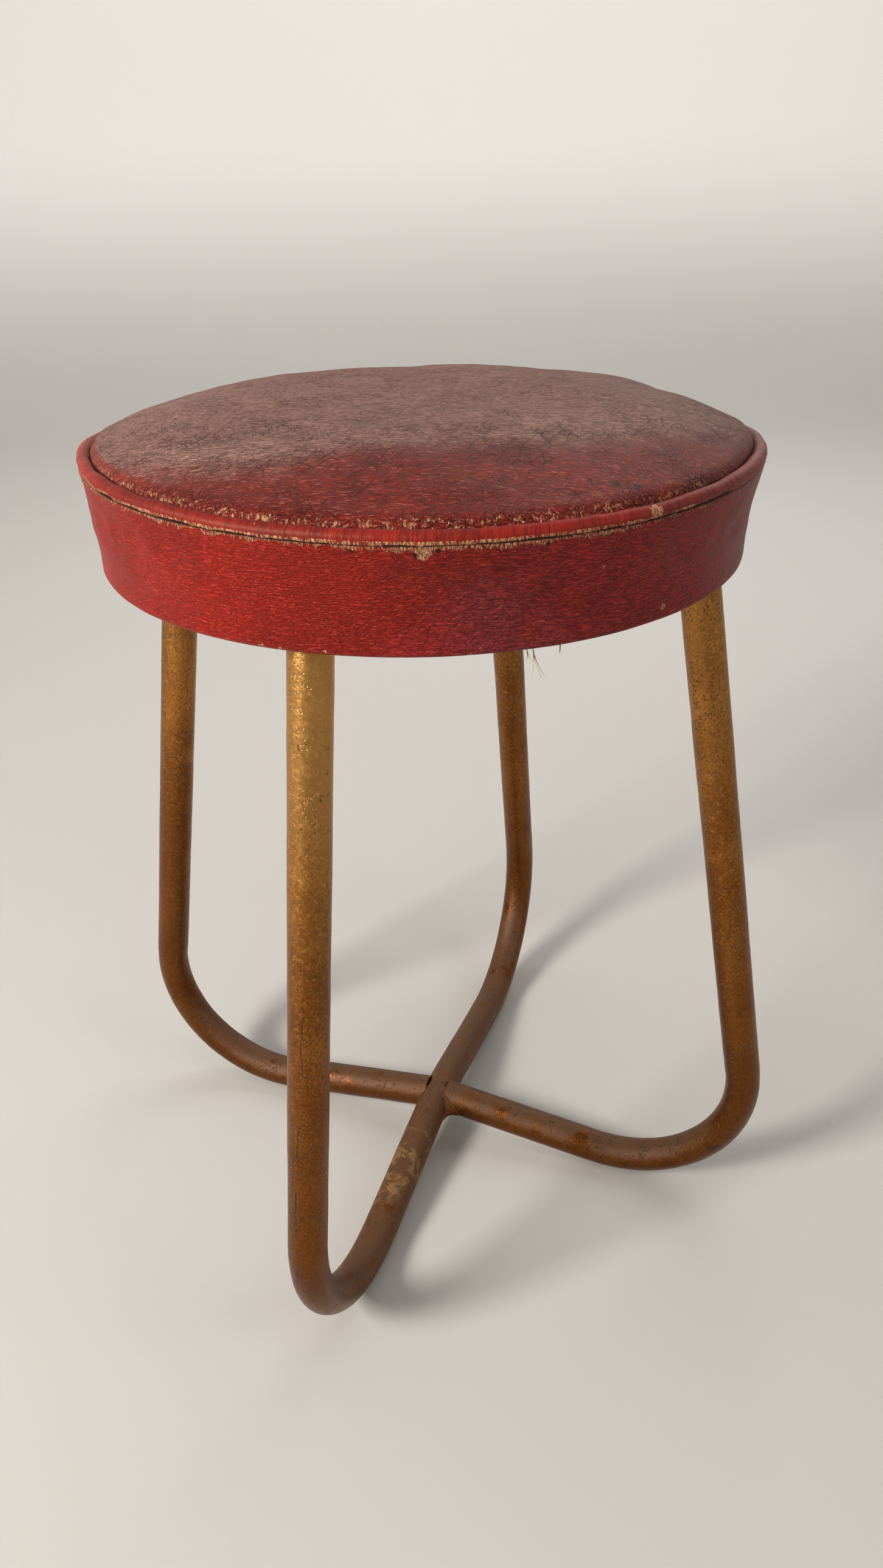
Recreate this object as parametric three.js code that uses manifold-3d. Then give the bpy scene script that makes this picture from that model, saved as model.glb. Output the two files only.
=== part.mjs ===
// Low round upholstered stool: a bent steel tube frame under a padded, leathercloth-covered seat.
//
// Frame of reference: millimetres, +Z up. The origin lies on the floor, under the point where the
// bottom tubes cross. The continuous hoop runs along Y (front leg at -Y, back leg at +Y) and the
// two half hoops run along X (left leg at -X, right leg at +X).

import * as THREE from 'three';
import { mergeVertices } from 'three/addons/utils/BufferGeometryUtils.js';
import Module from 'manifold-3d';

// ---- Driving dimensions ------------------------------------------------------------------------

const TUBE_RADIUS = 10;
const TUBE_WALL = 1.5;
const TUBE_SIDES = 16;
const BORE_SIDES = 10;
const BEND_RADIUS = 76; // to the centre line of the tube, at each foot
const FOOT_RADIUS = 115; // from the stool's axis to the lowest point of each foot bend
const RUN_RISE_DEG = 7.4; // slope of the bottom tubes, up from the feet to the crossing
const LEG_LEAN_DEG = { front: 10.4, back: 11.4, left: 9.5, right: 9.9 }; // hand bent, so not alike
const BEND_STEP_DEG = 10;
const CROSSING_BEND_RADIUS = 90;
const CROSSING_BEND_STEPS = 3;

const BAR_WIDTH = 25;
const BAR_THICKNESS = 3;
const BAR_END_RADIUS = 6;
const CLEAR_STRETCH = [60, 92]; // along each side bar, between its screws: nothing stands below it

const BOARD_RADIUS = 155.4;
const BOARD_THICKNESS = 16;
const CLOTH_THICKNESS = 1.2;
const HEM_WIDTH = 21;
const DUST_COVER_RADIUS = 150;
const DUST_COVER_THICKNESS = 0.7;
const HEM_UNDERSIDE_HEIGHT = 402.2;

const LOWER_PAD_THICKNESS = 19;
const LOWER_PAD_RADIUS = 154.2;
const WELT_RADIUS = 158.6; // to the centre of the piping
const WELT_HEIGHT = 450.6;
const PIPING_CORD_RADIUS = 2.1;
const PIPING_RADIUS = 3.4; // over its cover
const CROWN_RISE = 21.5; // from the rim of the top panel to the middle of the crown
const CROWN_POWER = 5;

const TACK_COUNT = 16;
const TACK_CIRCLE_RADIUS = 144;
const TACK_HEAD_RADIUS = 3.6;
const TACK_HEAD_HEIGHT = 1.6;
const TACK_SHANK_RADIUS = 0.9;
const TACK_LENGTH = 9;

const SCREW_RADII = [48, 104]; // two screws on each arm of the bar cross
const SCREW_HEAD_RADIUS = 4.2;
const SCREW_HEAD_HEIGHT = 2.6;
const SCREW_SHANK_RADIUS = 1.9;
const SCREW_LENGTH = 16;
const SCREW_SLOT_WIDTH = 1;
const SCREW_SLOT_DEPTH = 1;

const WELD_LEG = 2.4; // how far a weld bead stands out over the tube
const WELD_LENGTH = 5.5;
const BAR_WELD_HEIGHT = 1.2;
const BAR_WELD_LENGTH = 22;
const GAP = 0.3; // left between pieces that touch
const HOLE_CLEARANCE = 0.25; // around a shank
const ROUND_SEGMENTS = 32;
const FASTENER_SIDES = 8;
const HOLE_CURVE_SEGMENTS = 4; // eight sides to each round hole

// ---- Derived heights, from the floor up --------------------------------------------------------

const RAD = Math.PI / 180;
const TUBE_APOTHEM = TUBE_RADIUS * Math.cos(Math.PI / TUBE_SIDES);
const BEND_CENTRE_HEIGHT = (BEND_RADIUS + TUBE_APOTHEM) * Math.cos(BEND_STEP_DEG * RAD / 2);
const CROSSING_HEIGHT = crossingHeight();
const DUST_COVER_BOTTOM = HEM_UNDERSIDE_HEIGHT - GAP - DUST_COVER_THICKNESS;
const BAR_TOP = DUST_COVER_BOTTOM - GAP;
const BAR_BOTTOM = BAR_TOP - BAR_THICKNESS;
const LEG_TOP = BAR_BOTTOM - GAP;
const BOARD_BOTTOM = HEM_UNDERSIDE_HEIGHT + CLOTH_THICKNESS + GAP;
const BOARD_TOP = BOARD_BOTTOM + BOARD_THICKNESS;
const LOWER_PAD_BOTTOM = BOARD_TOP + GAP;
const LOWER_PAD_TOP = LOWER_PAD_BOTTOM + LOWER_PAD_THICKNESS;

// ---- Materials ---------------------------------------------------------------------------------

function material(name, color, roughness, metalness) {
  const made = new THREE.MeshStandardMaterial({ color, roughness, metalness });
  made.name = name;
  return made;
}

const goldPaint = material('gold_paint', 0x8a6230, 0.42, 0.6);
const redCloth = material('red_leathercloth', 0x8c241f, 0.5, 0);
const fadedCloth = material('faded_leathercloth', 0x86564c, 0.6, 0);
const plywood = material('plywood', 0xb78c5c, 0.8, 0);
const fibre = material('coir_fibre', 0x7a5a3a, 0.95, 0);
const cotton = material('cotton_felt', 0xcfc6b2, 0.95, 0);
const hessian = material('hessian', 0x7d6a4c, 0.95, 0);
const pipingCord = material('piping_cord', 0xb9a88a, 0.9, 0);
const tackSteel = material('tack_steel', 0x55524e, 0.45, 0.9);

// ---- Small helpers -----------------------------------------------------------------------------

const wasm = await Module();
wasm.setup();

function toSolid(geometry) {
  const bare = geometry.clone();
  bare.deleteAttribute('normal');
  bare.deleteAttribute('uv');
  const merged = mergeVertices(bare, 1e-4);
  return new wasm.Manifold(new wasm.Mesh({
    numProp: 3,
    vertProperties: new Float32Array(merged.attributes.position.array),
    triVerts: new Uint32Array(merged.index.array),
  }));
}

function toGeometry(solid) {
  const mesh = solid.getMesh();
  const geometry = new THREE.BufferGeometry();
  geometry.setAttribute('position', new THREE.BufferAttribute(mesh.vertProperties, 3));
  geometry.setIndex(new THREE.BufferAttribute(mesh.triVerts, 1));
  geometry.computeVertexNormals();
  return geometry;
}

function cut(geometry, cutters) {
  let solid = toSolid(geometry);
  for (const cutter of cutters) {
    solid = solid.subtract(toSolid(cutter));
  }
  return toGeometry(solid);
}

function join(geometries) {
  const solids = geometries.map(toSolid);
  return toGeometry(solids.reduce((sum, solid) => sum.add(solid)));
}

// A solid of revolution about Z from a closed [radius, height] outline.
function revolve(outline, segments = ROUND_SEGMENTS) {
  const points = outline.map(([radius, height]) => new THREE.Vector2(radius, height));
  points.push(points[0].clone());
  const geometry = new THREE.LatheGeometry(points, segments);
  geometry.rotateX(Math.PI / 2);
  return geometry;
}

// A prism along Z from a height up, from a flat outline with round holes in it.
function plate(shape, holes, bottom, thickness) {
  for (const [x, y, radius] of holes) {
    const hole = new THREE.Path();
    hole.absarc(x, y, radius, 0, 2 * Math.PI, true);
    shape.holes.push(hole);
  }
  const geometry = new THREE.ExtrudeGeometry(shape, {
    depth: thickness,
    bevelEnabled: false,
    curveSegments: HOLE_CURVE_SEGMENTS,
  });
  geometry.translate(0, 0, bottom);
  return geometry;
}

function polar(radius, angle) {
  return [radius * Math.cos(angle), radius * Math.sin(angle)];
}

function cylinder(radius, bottom, top, x, y) {
  const geometry = new THREE.CylinderGeometry(radius, radius, top - bottom, FASTENER_SIDES);
  geometry.rotateX(Math.PI / 2);
  geometry.translate(x, y, (top + bottom) / 2);
  return geometry;
}

const stool = new THREE.Group();
stool.name = 'stool';

function add(name, geometry, finish) {
  const mesh = new THREE.Mesh(geometry, finish);
  mesh.name = name;
  stool.add(mesh);
  return mesh;
}

// ---- Tube frame --------------------------------------------------------------------------------

// A path through fixed stations, each with its own direction, so that a tube drawn along it has
// steps only where it bends.
class StationCurve extends THREE.Curve {
  constructor(stations) {
    super();
    this.stations = stations;
  }

  station(t) {
    const last = this.stations.length - 1;
    return this.stations[Math.round(t * last)];
  }

  getPoint(t) {
    return this.station(t).point.clone();
  }

  getTangent(t) {
    return this.station(t).direction.clone();
  }

  getPointAt(t) {
    return this.getPoint(t);
  }

  getTangentAt(t) {
    return this.getTangent(t);
  }
}

function crossingHeight() {
  const rise = RUN_RISE_DEG * RAD;
  const bendEndRadius = FOOT_RADIUS - BEND_RADIUS * Math.sin(rise);
  const bendEndHeight = BEND_CENTRE_HEIGHT - BEND_RADIUS * Math.cos(rise);
  return bendEndHeight + bendEndRadius * Math.tan(rise);
}

// The stations of one leg in its own plane, from above its top down round the foot bend to the
// inner end of its bend. Each is [radius, height, direction in radius, direction in height].
function legStations(leanDeg) {
  const lean = leanDeg * RAD;
  const rise = RUN_RISE_DEG * RAD;
  const halfStep = BEND_STEP_DEG * RAD / 2;
  const turn = Math.PI / 2 + lean - halfStep;
  const steps = Math.round(turn / (BEND_STEP_DEG * RAD));
  const angles = [];
  for (let i = 0; i <= steps; i += 1) {
    angles.push(Math.PI / 2 + lean - turn * i / steps);
  }
  angles.push(-halfStep);
  angles.push(-rise);
  const stations = angles.map((angle) => [
    FOOT_RADIUS + BEND_RADIUS * Math.sin(angle),
    BEND_CENTRE_HEIGHT - BEND_RADIUS * Math.cos(angle),
    -Math.cos(angle),
    -Math.sin(angle),
  ]);
  const [startRadius, startHeight, directionR, directionZ] = stations[0];
  const reach = (LEG_TOP + BEND_RADIUS - startHeight) / -directionZ;
  stations.unshift([startRadius - directionR * reach, startHeight - directionZ * reach,
    directionR, directionZ]);
  return stations;
}

// Distance from the stool's axis to the centre of a leg's top.
function legTopRadius(leanDeg) {
  const [, bendStart] = legStations(leanDeg);
  return bendStart[0] - (LEG_TOP - bendStart[1]) * Math.tan(leanDeg * RAD);
}

function placeStation([radius, height, directionR, directionZ], heading) {
  return {
    point: new THREE.Vector3(radius * heading.x, radius * heading.y, height),
    direction: new THREE.Vector3(directionR * heading.x, directionR * heading.y, directionZ),
  };
}

function ringShape(outerRadius, innerRadius) {
  const outline = (radius, sides) => {
    const points = [];
    for (let i = 0; i < sides; i += 1) {
      points.push(new THREE.Vector2(...polar(radius, (i + 0.5) * 2 * Math.PI / sides)));
    }
    return points;
  };
  const shape = new THREE.Shape(outline(outerRadius, TUBE_SIDES));
  if (innerRadius > 0) {
    shape.holes.push(new THREE.Path(outline(innerRadius, BORE_SIDES).reverse()));
  }
  return shape;
}

function tubeAlong(stations, outerRadius, innerRadius) {
  return new THREE.ExtrudeGeometry(ringShape(outerRadius, innerRadius), {
    steps: stations.length - 1,
    bevelEnabled: false,
    extrudePath: new StationCurve(stations),
  });
}

// The continuous hoop: down the front leg, through the crossing in one gentle bend, up the back.
function hoopStations() {
  const rise = RUN_RISE_DEG * RAD;
  const front = legStations(LEG_LEAN_DEG.front);
  const back = legStations(LEG_LEAN_DEG.back).reverse();
  const bendCentreHeight = CROSSING_HEIGHT - CROSSING_BEND_RADIUS / Math.cos(rise);
  const middle = [];
  for (let i = 0; i <= CROSSING_BEND_STEPS; i += 1) {
    const angle = rise * (1 - 2 * i / CROSSING_BEND_STEPS);
    middle.push({
      point: new THREE.Vector3(0, -CROSSING_BEND_RADIUS * Math.sin(angle),
        bendCentreHeight + CROSSING_BEND_RADIUS * Math.cos(angle)),
      direction: new THREE.Vector3(0, Math.cos(angle), Math.sin(angle)),
    });
  }
  const frontHeading = new THREE.Vector2(0, -1);
  const backHeading = new THREE.Vector2(0, 1);
  return [
    ...front.map((station) => placeStation(station, frontHeading)),
    ...middle,
    ...back.map(([radius, height, directionR, directionZ]) => (
      placeStation([radius, height, -directionR, -directionZ], backHeading)
    )),
  ];
}

function halfHoopStations(leanDeg, heading) {
  const rise = RUN_RISE_DEG * RAD;
  const stations = legStations(leanDeg);
  stations.push([0, CROSSING_HEIGHT, -Math.cos(rise), Math.sin(rise)]);
  return stations.map((station) => placeStation(station, heading));
}

function boxAboveLegs() {
  const height = 2 * BEND_RADIUS;
  const box = new THREE.BoxGeometry(4 * FOOT_RADIUS, 4 * FOOT_RADIUS, height);
  box.translate(0, 0, LEG_TOP + height / 2);
  return box;
}

const hoopPath = hoopStations();
const boreRadius = TUBE_RADIUS - TUBE_WALL;
const fatHoop = tubeAlong(hoopPath, TUBE_RADIUS + GAP, 0);
add('front_back_hoop', cut(tubeAlong(hoopPath, TUBE_RADIUS, boreRadius), [boxAboveLegs()]),
  goldPaint);

// A bead round the end of a half hoop, where it is coped and welded to the side of the hoop.
function crossWeld(heading, fatHalfHoop) {
  const reach = TUBE_RADIUS + WELD_LENGTH;
  const bead = revolve([
    [TUBE_RADIUS / 2, TUBE_RADIUS / 2],
    [TUBE_RADIUS + WELD_LEG, TUBE_RADIUS / 2],
    [TUBE_RADIUS + WELD_LEG, TUBE_RADIUS + GAP],
    [TUBE_RADIUS + GAP, reach],
    [TUBE_RADIUS / 2, reach],
  ], BORE_SIDES);
  bead.rotateY(heading.x * (Math.PI / 2 + RUN_RISE_DEG * RAD));
  bead.translate(0, 0, CROSSING_HEIGHT);
  return cut(bead, [fatHoop, fatHalfHoop]);
}

for (const [name, side] of [['left', -1], ['right', 1]]) {
  const heading = new THREE.Vector2(side, 0);
  const path = halfHoopStations(LEG_LEAN_DEG[name], heading);
  const fatHalfHoop = tubeAlong(path, TUBE_RADIUS + GAP, 0);
  const tube = tubeAlong(path, TUBE_RADIUS, boreRadius);
  add(`${name}_half_hoop`, cut(tube, [fatHoop, boxAboveLegs()]), goldPaint);
  add(`${name}_cross_weld`, crossWeld(heading, fatHalfHoop), goldPaint);
}

// A bead round the inner half of the top of each leg, where it meets the underside of the bar
// cross. The outer half is left clean, because it shows below the edge of the seat.
function legTopWeld(leanDeg, heading) {
  const topRadius = legTopRadius(leanDeg);
  const bead = revolve([
    [TUBE_RADIUS / 2, LEG_TOP],
    [TUBE_RADIUS / 2, LEG_TOP - WELD_LENGTH],
    [TUBE_RADIUS + GAP, LEG_TOP - WELD_LENGTH],
    [TUBE_RADIUS + WELD_LEG / 2, LEG_TOP - WELD_LENGTH / 3],
    [TUBE_RADIUS + WELD_LEG, LEG_TOP],
  ], BORE_SIDES);
  bead.translate(topRadius * heading.x, topRadius * heading.y, 0);
  const outerHalf = new THREE.BoxGeometry(4 * TUBE_RADIUS, 4 * TUBE_RADIUS, 4 * WELD_LENGTH);
  const boxRadius = topRadius + 2 * TUBE_RADIUS;
  outerHalf.translate(boxRadius * heading.x, boxRadius * heading.y, LEG_TOP);
  const stations = legStations(leanDeg).slice(0, 2).map((s) => placeStation(s, heading));
  return cut(bead, [tubeAlong(stations, TUBE_RADIUS + GAP, 0), outerHalf]);
}

const LEG_HEADINGS = {
  front: new THREE.Vector2(0, -1),
  back: new THREE.Vector2(0, 1),
  left: new THREE.Vector2(-1, 0),
  right: new THREE.Vector2(1, 0),
};

for (const [name, heading] of Object.entries(LEG_HEADINGS)) {
  add(`${name}_leg_weld`, legTopWeld(LEG_LEAN_DEG[name], heading), goldPaint);
}

// ---- Bar cross that carries the seat -----------------------------------------------------------

// A length of flat bar along X from one distance to another, with either end square or with
// rounded corners.
function barLength(from, to, holes, roundStart, roundEnd) {
  const half = BAR_WIDTH / 2;
  const round = BAR_END_RADIUS;
  const shape = new THREE.Shape();
  if (roundStart) {
    shape.moveTo(from + round, half);
    shape.absarc(from + round, half - round, round, Math.PI / 2, Math.PI, false);
    shape.absarc(from + round, round - half, round, Math.PI, 1.5 * Math.PI, false);
  } else {
    shape.moveTo(from, half);
    shape.lineTo(from, -half);
  }
  if (roundEnd) {
    shape.absarc(to - round, round - half, round, -Math.PI / 2, 0, false);
    shape.absarc(to - round, half - round, round, 0, Math.PI / 2, false);
  } else {
    shape.lineTo(to, -half);
    shape.lineTo(to, half);
  }
  return plate(shape, holes, BAR_BOTTOM, BAR_THICKNESS);
}

const screwHole = SCREW_SHANK_RADIUS + HOLE_CLEARANCE;
const armHoles = SCREW_RADII.map((radius) => [radius, 0, screwHole]);
const longBarHoles = [...armHoles, ...SCREW_RADII.map((radius) => [-radius, 0, screwHole])];
const armReach = (name) => legTopRadius(LEG_LEAN_DEG[name]) + TUBE_RADIUS;
const longBar = barLength(-armReach('front'), armReach('back'), longBarHoles, true, true);
longBar.rotateZ(Math.PI / 2);
add('long_bar', longBar, goldPaint);

// A side bar, joined from three lengths so that its clear stretch keeps a flat face of its own.
function sideBar(reach) {
  const [clearStart, clearEnd] = CLEAR_STRETCH;
  const [innerHole, outerHole] = armHoles;
  return join([
    barLength(BAR_WIDTH / 2 + GAP, clearStart, [innerHole], false, false),
    barLength(clearStart, clearEnd, [], false, false),
    barLength(clearEnd, reach, [outerHole], false, true),
  ]);
}

// A bead across the underside of the butt joint between a side bar and the long bar.
function barWeld(side) {
  const outline = new THREE.Shape();
  outline.moveTo(-BAR_WELD_HEIGHT * 2, 0);
  outline.quadraticCurveTo(0, -BAR_WELD_HEIGHT * 2, BAR_WELD_HEIGHT * 2, 0);
  const geometry = new THREE.ExtrudeGeometry(outline, {
    depth: BAR_WELD_LENGTH,
    bevelEnabled: false,
    curveSegments: HOLE_CURVE_SEGMENTS,
  });
  geometry.rotateX(Math.PI / 2);
  geometry.translate(side * BAR_WIDTH / 2, BAR_WELD_LENGTH / 2, BAR_BOTTOM - GAP);
  return geometry;
}

for (const [name, side] of [['left', -1], ['right', 1]]) {
  const bar = sideBar(armReach(name));
  bar.rotateZ(side < 0 ? Math.PI : 0);
  add(`${name}_bar`, bar, goldPaint);
  add(`${name}_bar_weld`, barWeld(side), goldPaint);
}

// ---- Fasteners ---------------------------------------------------------------------------------

const screwPlaces = [];
for (const [name, heading] of Object.entries(LEG_HEADINGS)) {
  SCREW_RADII.forEach((radius, index) => {
    screwPlaces.push({
      name: `${name}_bar_screw_${index + 1}`,
      x: radius * heading.x,
      y: radius * heading.y,
    });
  });
}

// A slotted round-head wood screw, driven up through the bar into the board.
function screwGeometry() {
  const headTop = BAR_BOTTOM - GAP;
  const head = revolve([
    [0, headTop - SCREW_HEAD_HEIGHT],
    [SCREW_HEAD_RADIUS * 0.6, headTop - SCREW_HEAD_HEIGHT * 0.85],
    [SCREW_HEAD_RADIUS, headTop - SCREW_HEAD_HEIGHT * 0.3],
    [SCREW_HEAD_RADIUS, headTop],
    [SCREW_SHANK_RADIUS, headTop],
    [SCREW_SHANK_RADIUS, headTop + SCREW_LENGTH - 4],
    [0, headTop + SCREW_LENGTH],
  ], FASTENER_SIDES);
  const slot = new THREE.BoxGeometry(4 * SCREW_HEAD_RADIUS, SCREW_SLOT_WIDTH, 2 * SCREW_SLOT_DEPTH);
  slot.translate(0, 0, headTop - SCREW_HEAD_HEIGHT);
  return cut(head, [slot]);
}

const screw = screwGeometry();
screwPlaces.forEach((place, index) => {
  const mesh = add(place.name, screw, tackSteel);
  mesh.position.set(place.x, place.y, 0);
  mesh.rotation.z = index;
});

const tackPlaces = [];
for (let i = 0; i < TACK_COUNT; i += 1) {
  const [x, y] = polar(TACK_CIRCLE_RADIUS, (i + 0.5) * 2 * Math.PI / TACK_COUNT);
  tackPlaces.push({ name: `hem_tack_${String(i + 1).padStart(2, '0')}`, x, y });
}

const tackHeadTop = DUST_COVER_BOTTOM - GAP;
const tack = revolve([
  [0, tackHeadTop - TACK_HEAD_HEIGHT],
  [TACK_HEAD_RADIUS * 0.7, tackHeadTop - TACK_HEAD_HEIGHT * 0.6],
  [TACK_HEAD_RADIUS, tackHeadTop],
  [TACK_SHANK_RADIUS, tackHeadTop],
  [0, tackHeadTop + TACK_LENGTH],
], FASTENER_SIDES);
for (const place of tackPlaces) {
  const mesh = add(place.name, tack, tackSteel);
  mesh.position.set(place.x, place.y, 0);
}

// ---- Seat --------------------------------------------------------------------------------------

function shankCutters(places, radius, bottom, top) {
  return places.map(({ x, y }) => cylinder(radius, bottom, top, x, y));
}

const tackHole = TACK_SHANK_RADIUS + HOLE_CLEARANCE;
const screwTip = BAR_BOTTOM - GAP + SCREW_LENGTH + GAP;
const tackTip = tackHeadTop + TACK_LENGTH + GAP;

const board = revolve([
  [0, BOARD_BOTTOM],
  [BOARD_RADIUS - 1, BOARD_BOTTOM],
  [BOARD_RADIUS, BOARD_BOTTOM + 1],
  [BOARD_RADIUS, BOARD_TOP - 1],
  [BOARD_RADIUS - 1, BOARD_TOP],
  [0, BOARD_TOP],
]);
add('seat_board', cut(board, [
  ...shankCutters(screwPlaces, screwHole, BOARD_BOTTOM - 1, screwTip),
  ...shankCutters(tackPlaces, tackHole, BOARD_BOTTOM - 1, tackTip),
]), plywood);

const dustCover = new THREE.Shape();
for (let i = 0; i < ROUND_SEGMENTS; i += 1) {
  const [x, y] = polar(DUST_COVER_RADIUS, i * 2 * Math.PI / ROUND_SEGMENTS);
  if (i === 0) {
    dustCover.moveTo(x, y);
  } else {
    dustCover.lineTo(x, y);
  }
}
add('dust_cover', plate(dustCover, [
  ...screwPlaces.map(({ x, y }) => [x, y, screwHole]),
  ...tackPlaces.map(({ x, y }) => [x, y, tackHole]),
], DUST_COVER_BOTTOM, DUST_COVER_THICKNESS), hessian);

add('coir_pad', revolve([
  [0, LOWER_PAD_BOTTOM],
  [LOWER_PAD_RADIUS - 2, LOWER_PAD_BOTTOM],
  [LOWER_PAD_RADIUS, LOWER_PAD_BOTTOM + 2],
  [LOWER_PAD_RADIUS, LOWER_PAD_TOP],
  [0, LOWER_PAD_TOP],
]), fibre);

// Height of the outside of the crown over the welt, at a radius.
const PANEL_RADIUS = WELT_RADIUS - PIPING_RADIUS - GAP;
function crownHeight(radius) {
  return WELT_HEIGHT + CROWN_RISE * (1 - (radius / PANEL_RADIUS) ** CROWN_POWER);
}

const CROWN_STATIONS = [1, 0.95, 0.87, 0.73, 0.45, 0];
const feltBottom = LOWER_PAD_TOP + GAP;
const feltRadius = LOWER_PAD_RADIUS - 1;
const feltTop = CROWN_STATIONS.map((u) => {
  const radius = u * feltRadius;
  return [radius, crownHeight(radius) - CLOTH_THICKNESS - 2 * GAP];
});
add('cotton_pad', revolve([[0, feltBottom], [feltRadius - 1, feltBottom], ...feltTop]), cotton);

const panelOutside = CROWN_STATIONS.map((u) => [u * PANEL_RADIUS, crownHeight(u * PANEL_RADIUS)]);
const panelInside = panelOutside.map(([radius, height]) => [radius, height - CLOTH_THICKNESS]);
add('seat_top_cover', revolve([...panelInside.reverse(), ...panelOutside]), fadedCloth);

// The piping: a cord in a strip of the same cloth, with a slit on the inside where it is sewn.
function arcPoints(radius, fromDeg, toDeg, count) {
  const points = [];
  for (let i = 0; i <= count; i += 1) {
    const [x, y] = polar(radius, (fromDeg + (toDeg - fromDeg) * i / count) * RAD);
    points.push([WELT_RADIUS + x, WELT_HEIGHT + y]);
  }
  return points;
}

const slitDeg = 18;
const pipingBore = PIPING_CORD_RADIUS + GAP;
add('welt_cover', revolve([
  ...arcPoints(PIPING_RADIUS, slitDeg - 180, 180 - slitDeg, 8),
  ...arcPoints(pipingBore, 180 - slitDeg, slitDeg - 180, 6),
]), redCloth);
add('welt_cord', revolve(arcPoints(PIPING_CORD_RADIUS, 0, 300, 5)), pipingCord);

// The side band: from the seam under the piping down over the board, and turned in under it.
const bandTop = WELT_HEIGHT - PIPING_RADIUS - GAP;
const bandOuter = [
  [BOARD_RADIUS + GAP + CLOTH_THICKNESS, HEM_UNDERSIDE_HEIGHT + 1],
  [BOARD_RADIUS + GAP + CLOTH_THICKNESS, BOARD_TOP],
  [BOARD_RADIUS + 1.7, BOARD_TOP + 10],
  [BOARD_RADIUS + 2.7, bandTop - 8],
  [BOARD_RADIUS + 4.6, bandTop],
];
const bandInner = bandOuter.map(([radius, height]) => [radius - CLOTH_THICKNESS, height]).reverse();
const hemInner = BOARD_RADIUS - HEM_WIDTH;
const band = revolve([
  [hemInner, HEM_UNDERSIDE_HEIGHT],
  [BOARD_RADIUS + CLOTH_THICKNESS - 0.6, HEM_UNDERSIDE_HEIGHT],
  ...bandOuter,
  ...bandInner.slice(0, -1),
  [BOARD_RADIUS + GAP, HEM_UNDERSIDE_HEIGHT + CLOTH_THICKNESS],
  [hemInner, HEM_UNDERSIDE_HEIGHT + CLOTH_THICKNESS],
]);
add('side_band', cut(band, shankCutters(tackPlaces, tackHole, HEM_UNDERSIDE_HEIGHT - 1,
  BOARD_BOTTOM + GAP)), redCloth);

export default stool;
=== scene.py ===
"""Looks of a low upholstered stool on bent tube legs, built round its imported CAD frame."""

from math import cos, pi, radians, sin, sqrt, tan

import bmesh
import bpy
import numpy as np
from mathutils import Matrix, Vector
from mathutils.bvhtree import BVHTree


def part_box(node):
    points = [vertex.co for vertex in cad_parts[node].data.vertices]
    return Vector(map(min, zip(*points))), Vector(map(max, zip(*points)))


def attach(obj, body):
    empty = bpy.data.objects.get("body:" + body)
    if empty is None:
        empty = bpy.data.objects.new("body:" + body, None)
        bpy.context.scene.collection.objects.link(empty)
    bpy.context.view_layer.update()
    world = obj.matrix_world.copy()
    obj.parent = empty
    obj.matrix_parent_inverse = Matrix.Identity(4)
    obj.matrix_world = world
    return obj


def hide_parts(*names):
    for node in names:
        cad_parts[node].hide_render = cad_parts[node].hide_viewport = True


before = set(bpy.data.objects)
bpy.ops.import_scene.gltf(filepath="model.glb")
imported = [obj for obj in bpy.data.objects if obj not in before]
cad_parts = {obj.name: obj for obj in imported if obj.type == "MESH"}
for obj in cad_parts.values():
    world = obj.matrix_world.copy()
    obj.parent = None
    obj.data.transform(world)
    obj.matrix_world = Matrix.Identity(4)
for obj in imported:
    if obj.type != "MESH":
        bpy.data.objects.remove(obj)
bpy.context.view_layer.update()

# ---- Sizes, in metres ----

MM = 0.001
TAU = 2 * pi

TUBE_RADIUS = 10 * MM
TUBE_WALL = 1.5 * MM
BEND_RADIUS = 76 * MM
FOOT_RADIUS = 115 * MM
RUN_RISE = radians(7.4)
LEG_LEAN = {name: radians(lean) for name, lean in
            {"front": 10.4, "back": 11.4, "left": 9.5, "right": 9.9}.items()}
CROSSING_BEND_RADIUS = 90 * MM
HOOP_SAG = CROSSING_BEND_RADIUS * (1 / cos(RUN_RISE) - 1)
HEADING = {"front": (0, -1), "back": (0, 1), "left": (-1, 0), "right": (1, 0)}
LEG_WELD = 4.2 * MM
CLOTH = 1.2 * MM

LEG_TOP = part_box("front_back_hoop")[1][2]
BAR_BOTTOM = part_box("long_bar")[0][2]
BOARD_LOW, BOARD_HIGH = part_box("seat_board")
BOARD_RADIUS = BOARD_HIGH[0]
WELT_LOW, WELT_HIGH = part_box("welt_cover")
WELT_TUBE = (WELT_HIGH[2] - WELT_LOW[2]) / 2
WELT_RADIUS = WELT_HIGH[0] - WELT_TUBE
WELT_HEIGHT = (WELT_HIGH[2] + WELT_LOW[2]) / 2
CROWN_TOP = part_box("seat_top_cover")[1][2]
BAND_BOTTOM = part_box("side_band")[0][2]
BAND_RADIUS = BOARD_RADIUS + CLOTH + 0.3 * MM
HEM_WIDTH = 21 * MM
HEM_FOLD = 2.2 * MM

THREAD_PITCH = 2.1 * MM

PANEL_EDGE = WELT_RADIUS - 2.7 * MM
SEAM_HEIGHT = WELT_HEIGHT + 2 * MM
LIP_RISE = 2.8 * MM
SHOULDER_RISE = CROWN_TOP - SEAM_HEIGHT - LIP_RISE
TIRED_STUFFING = 0.42
SIMULATED_FRAMES = 20
MOST_MOVE = 22 * MM

# Bearings are in degrees from the right leg, anticlockwise seen from above.
MIDDLE_FRONT = -70

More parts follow.
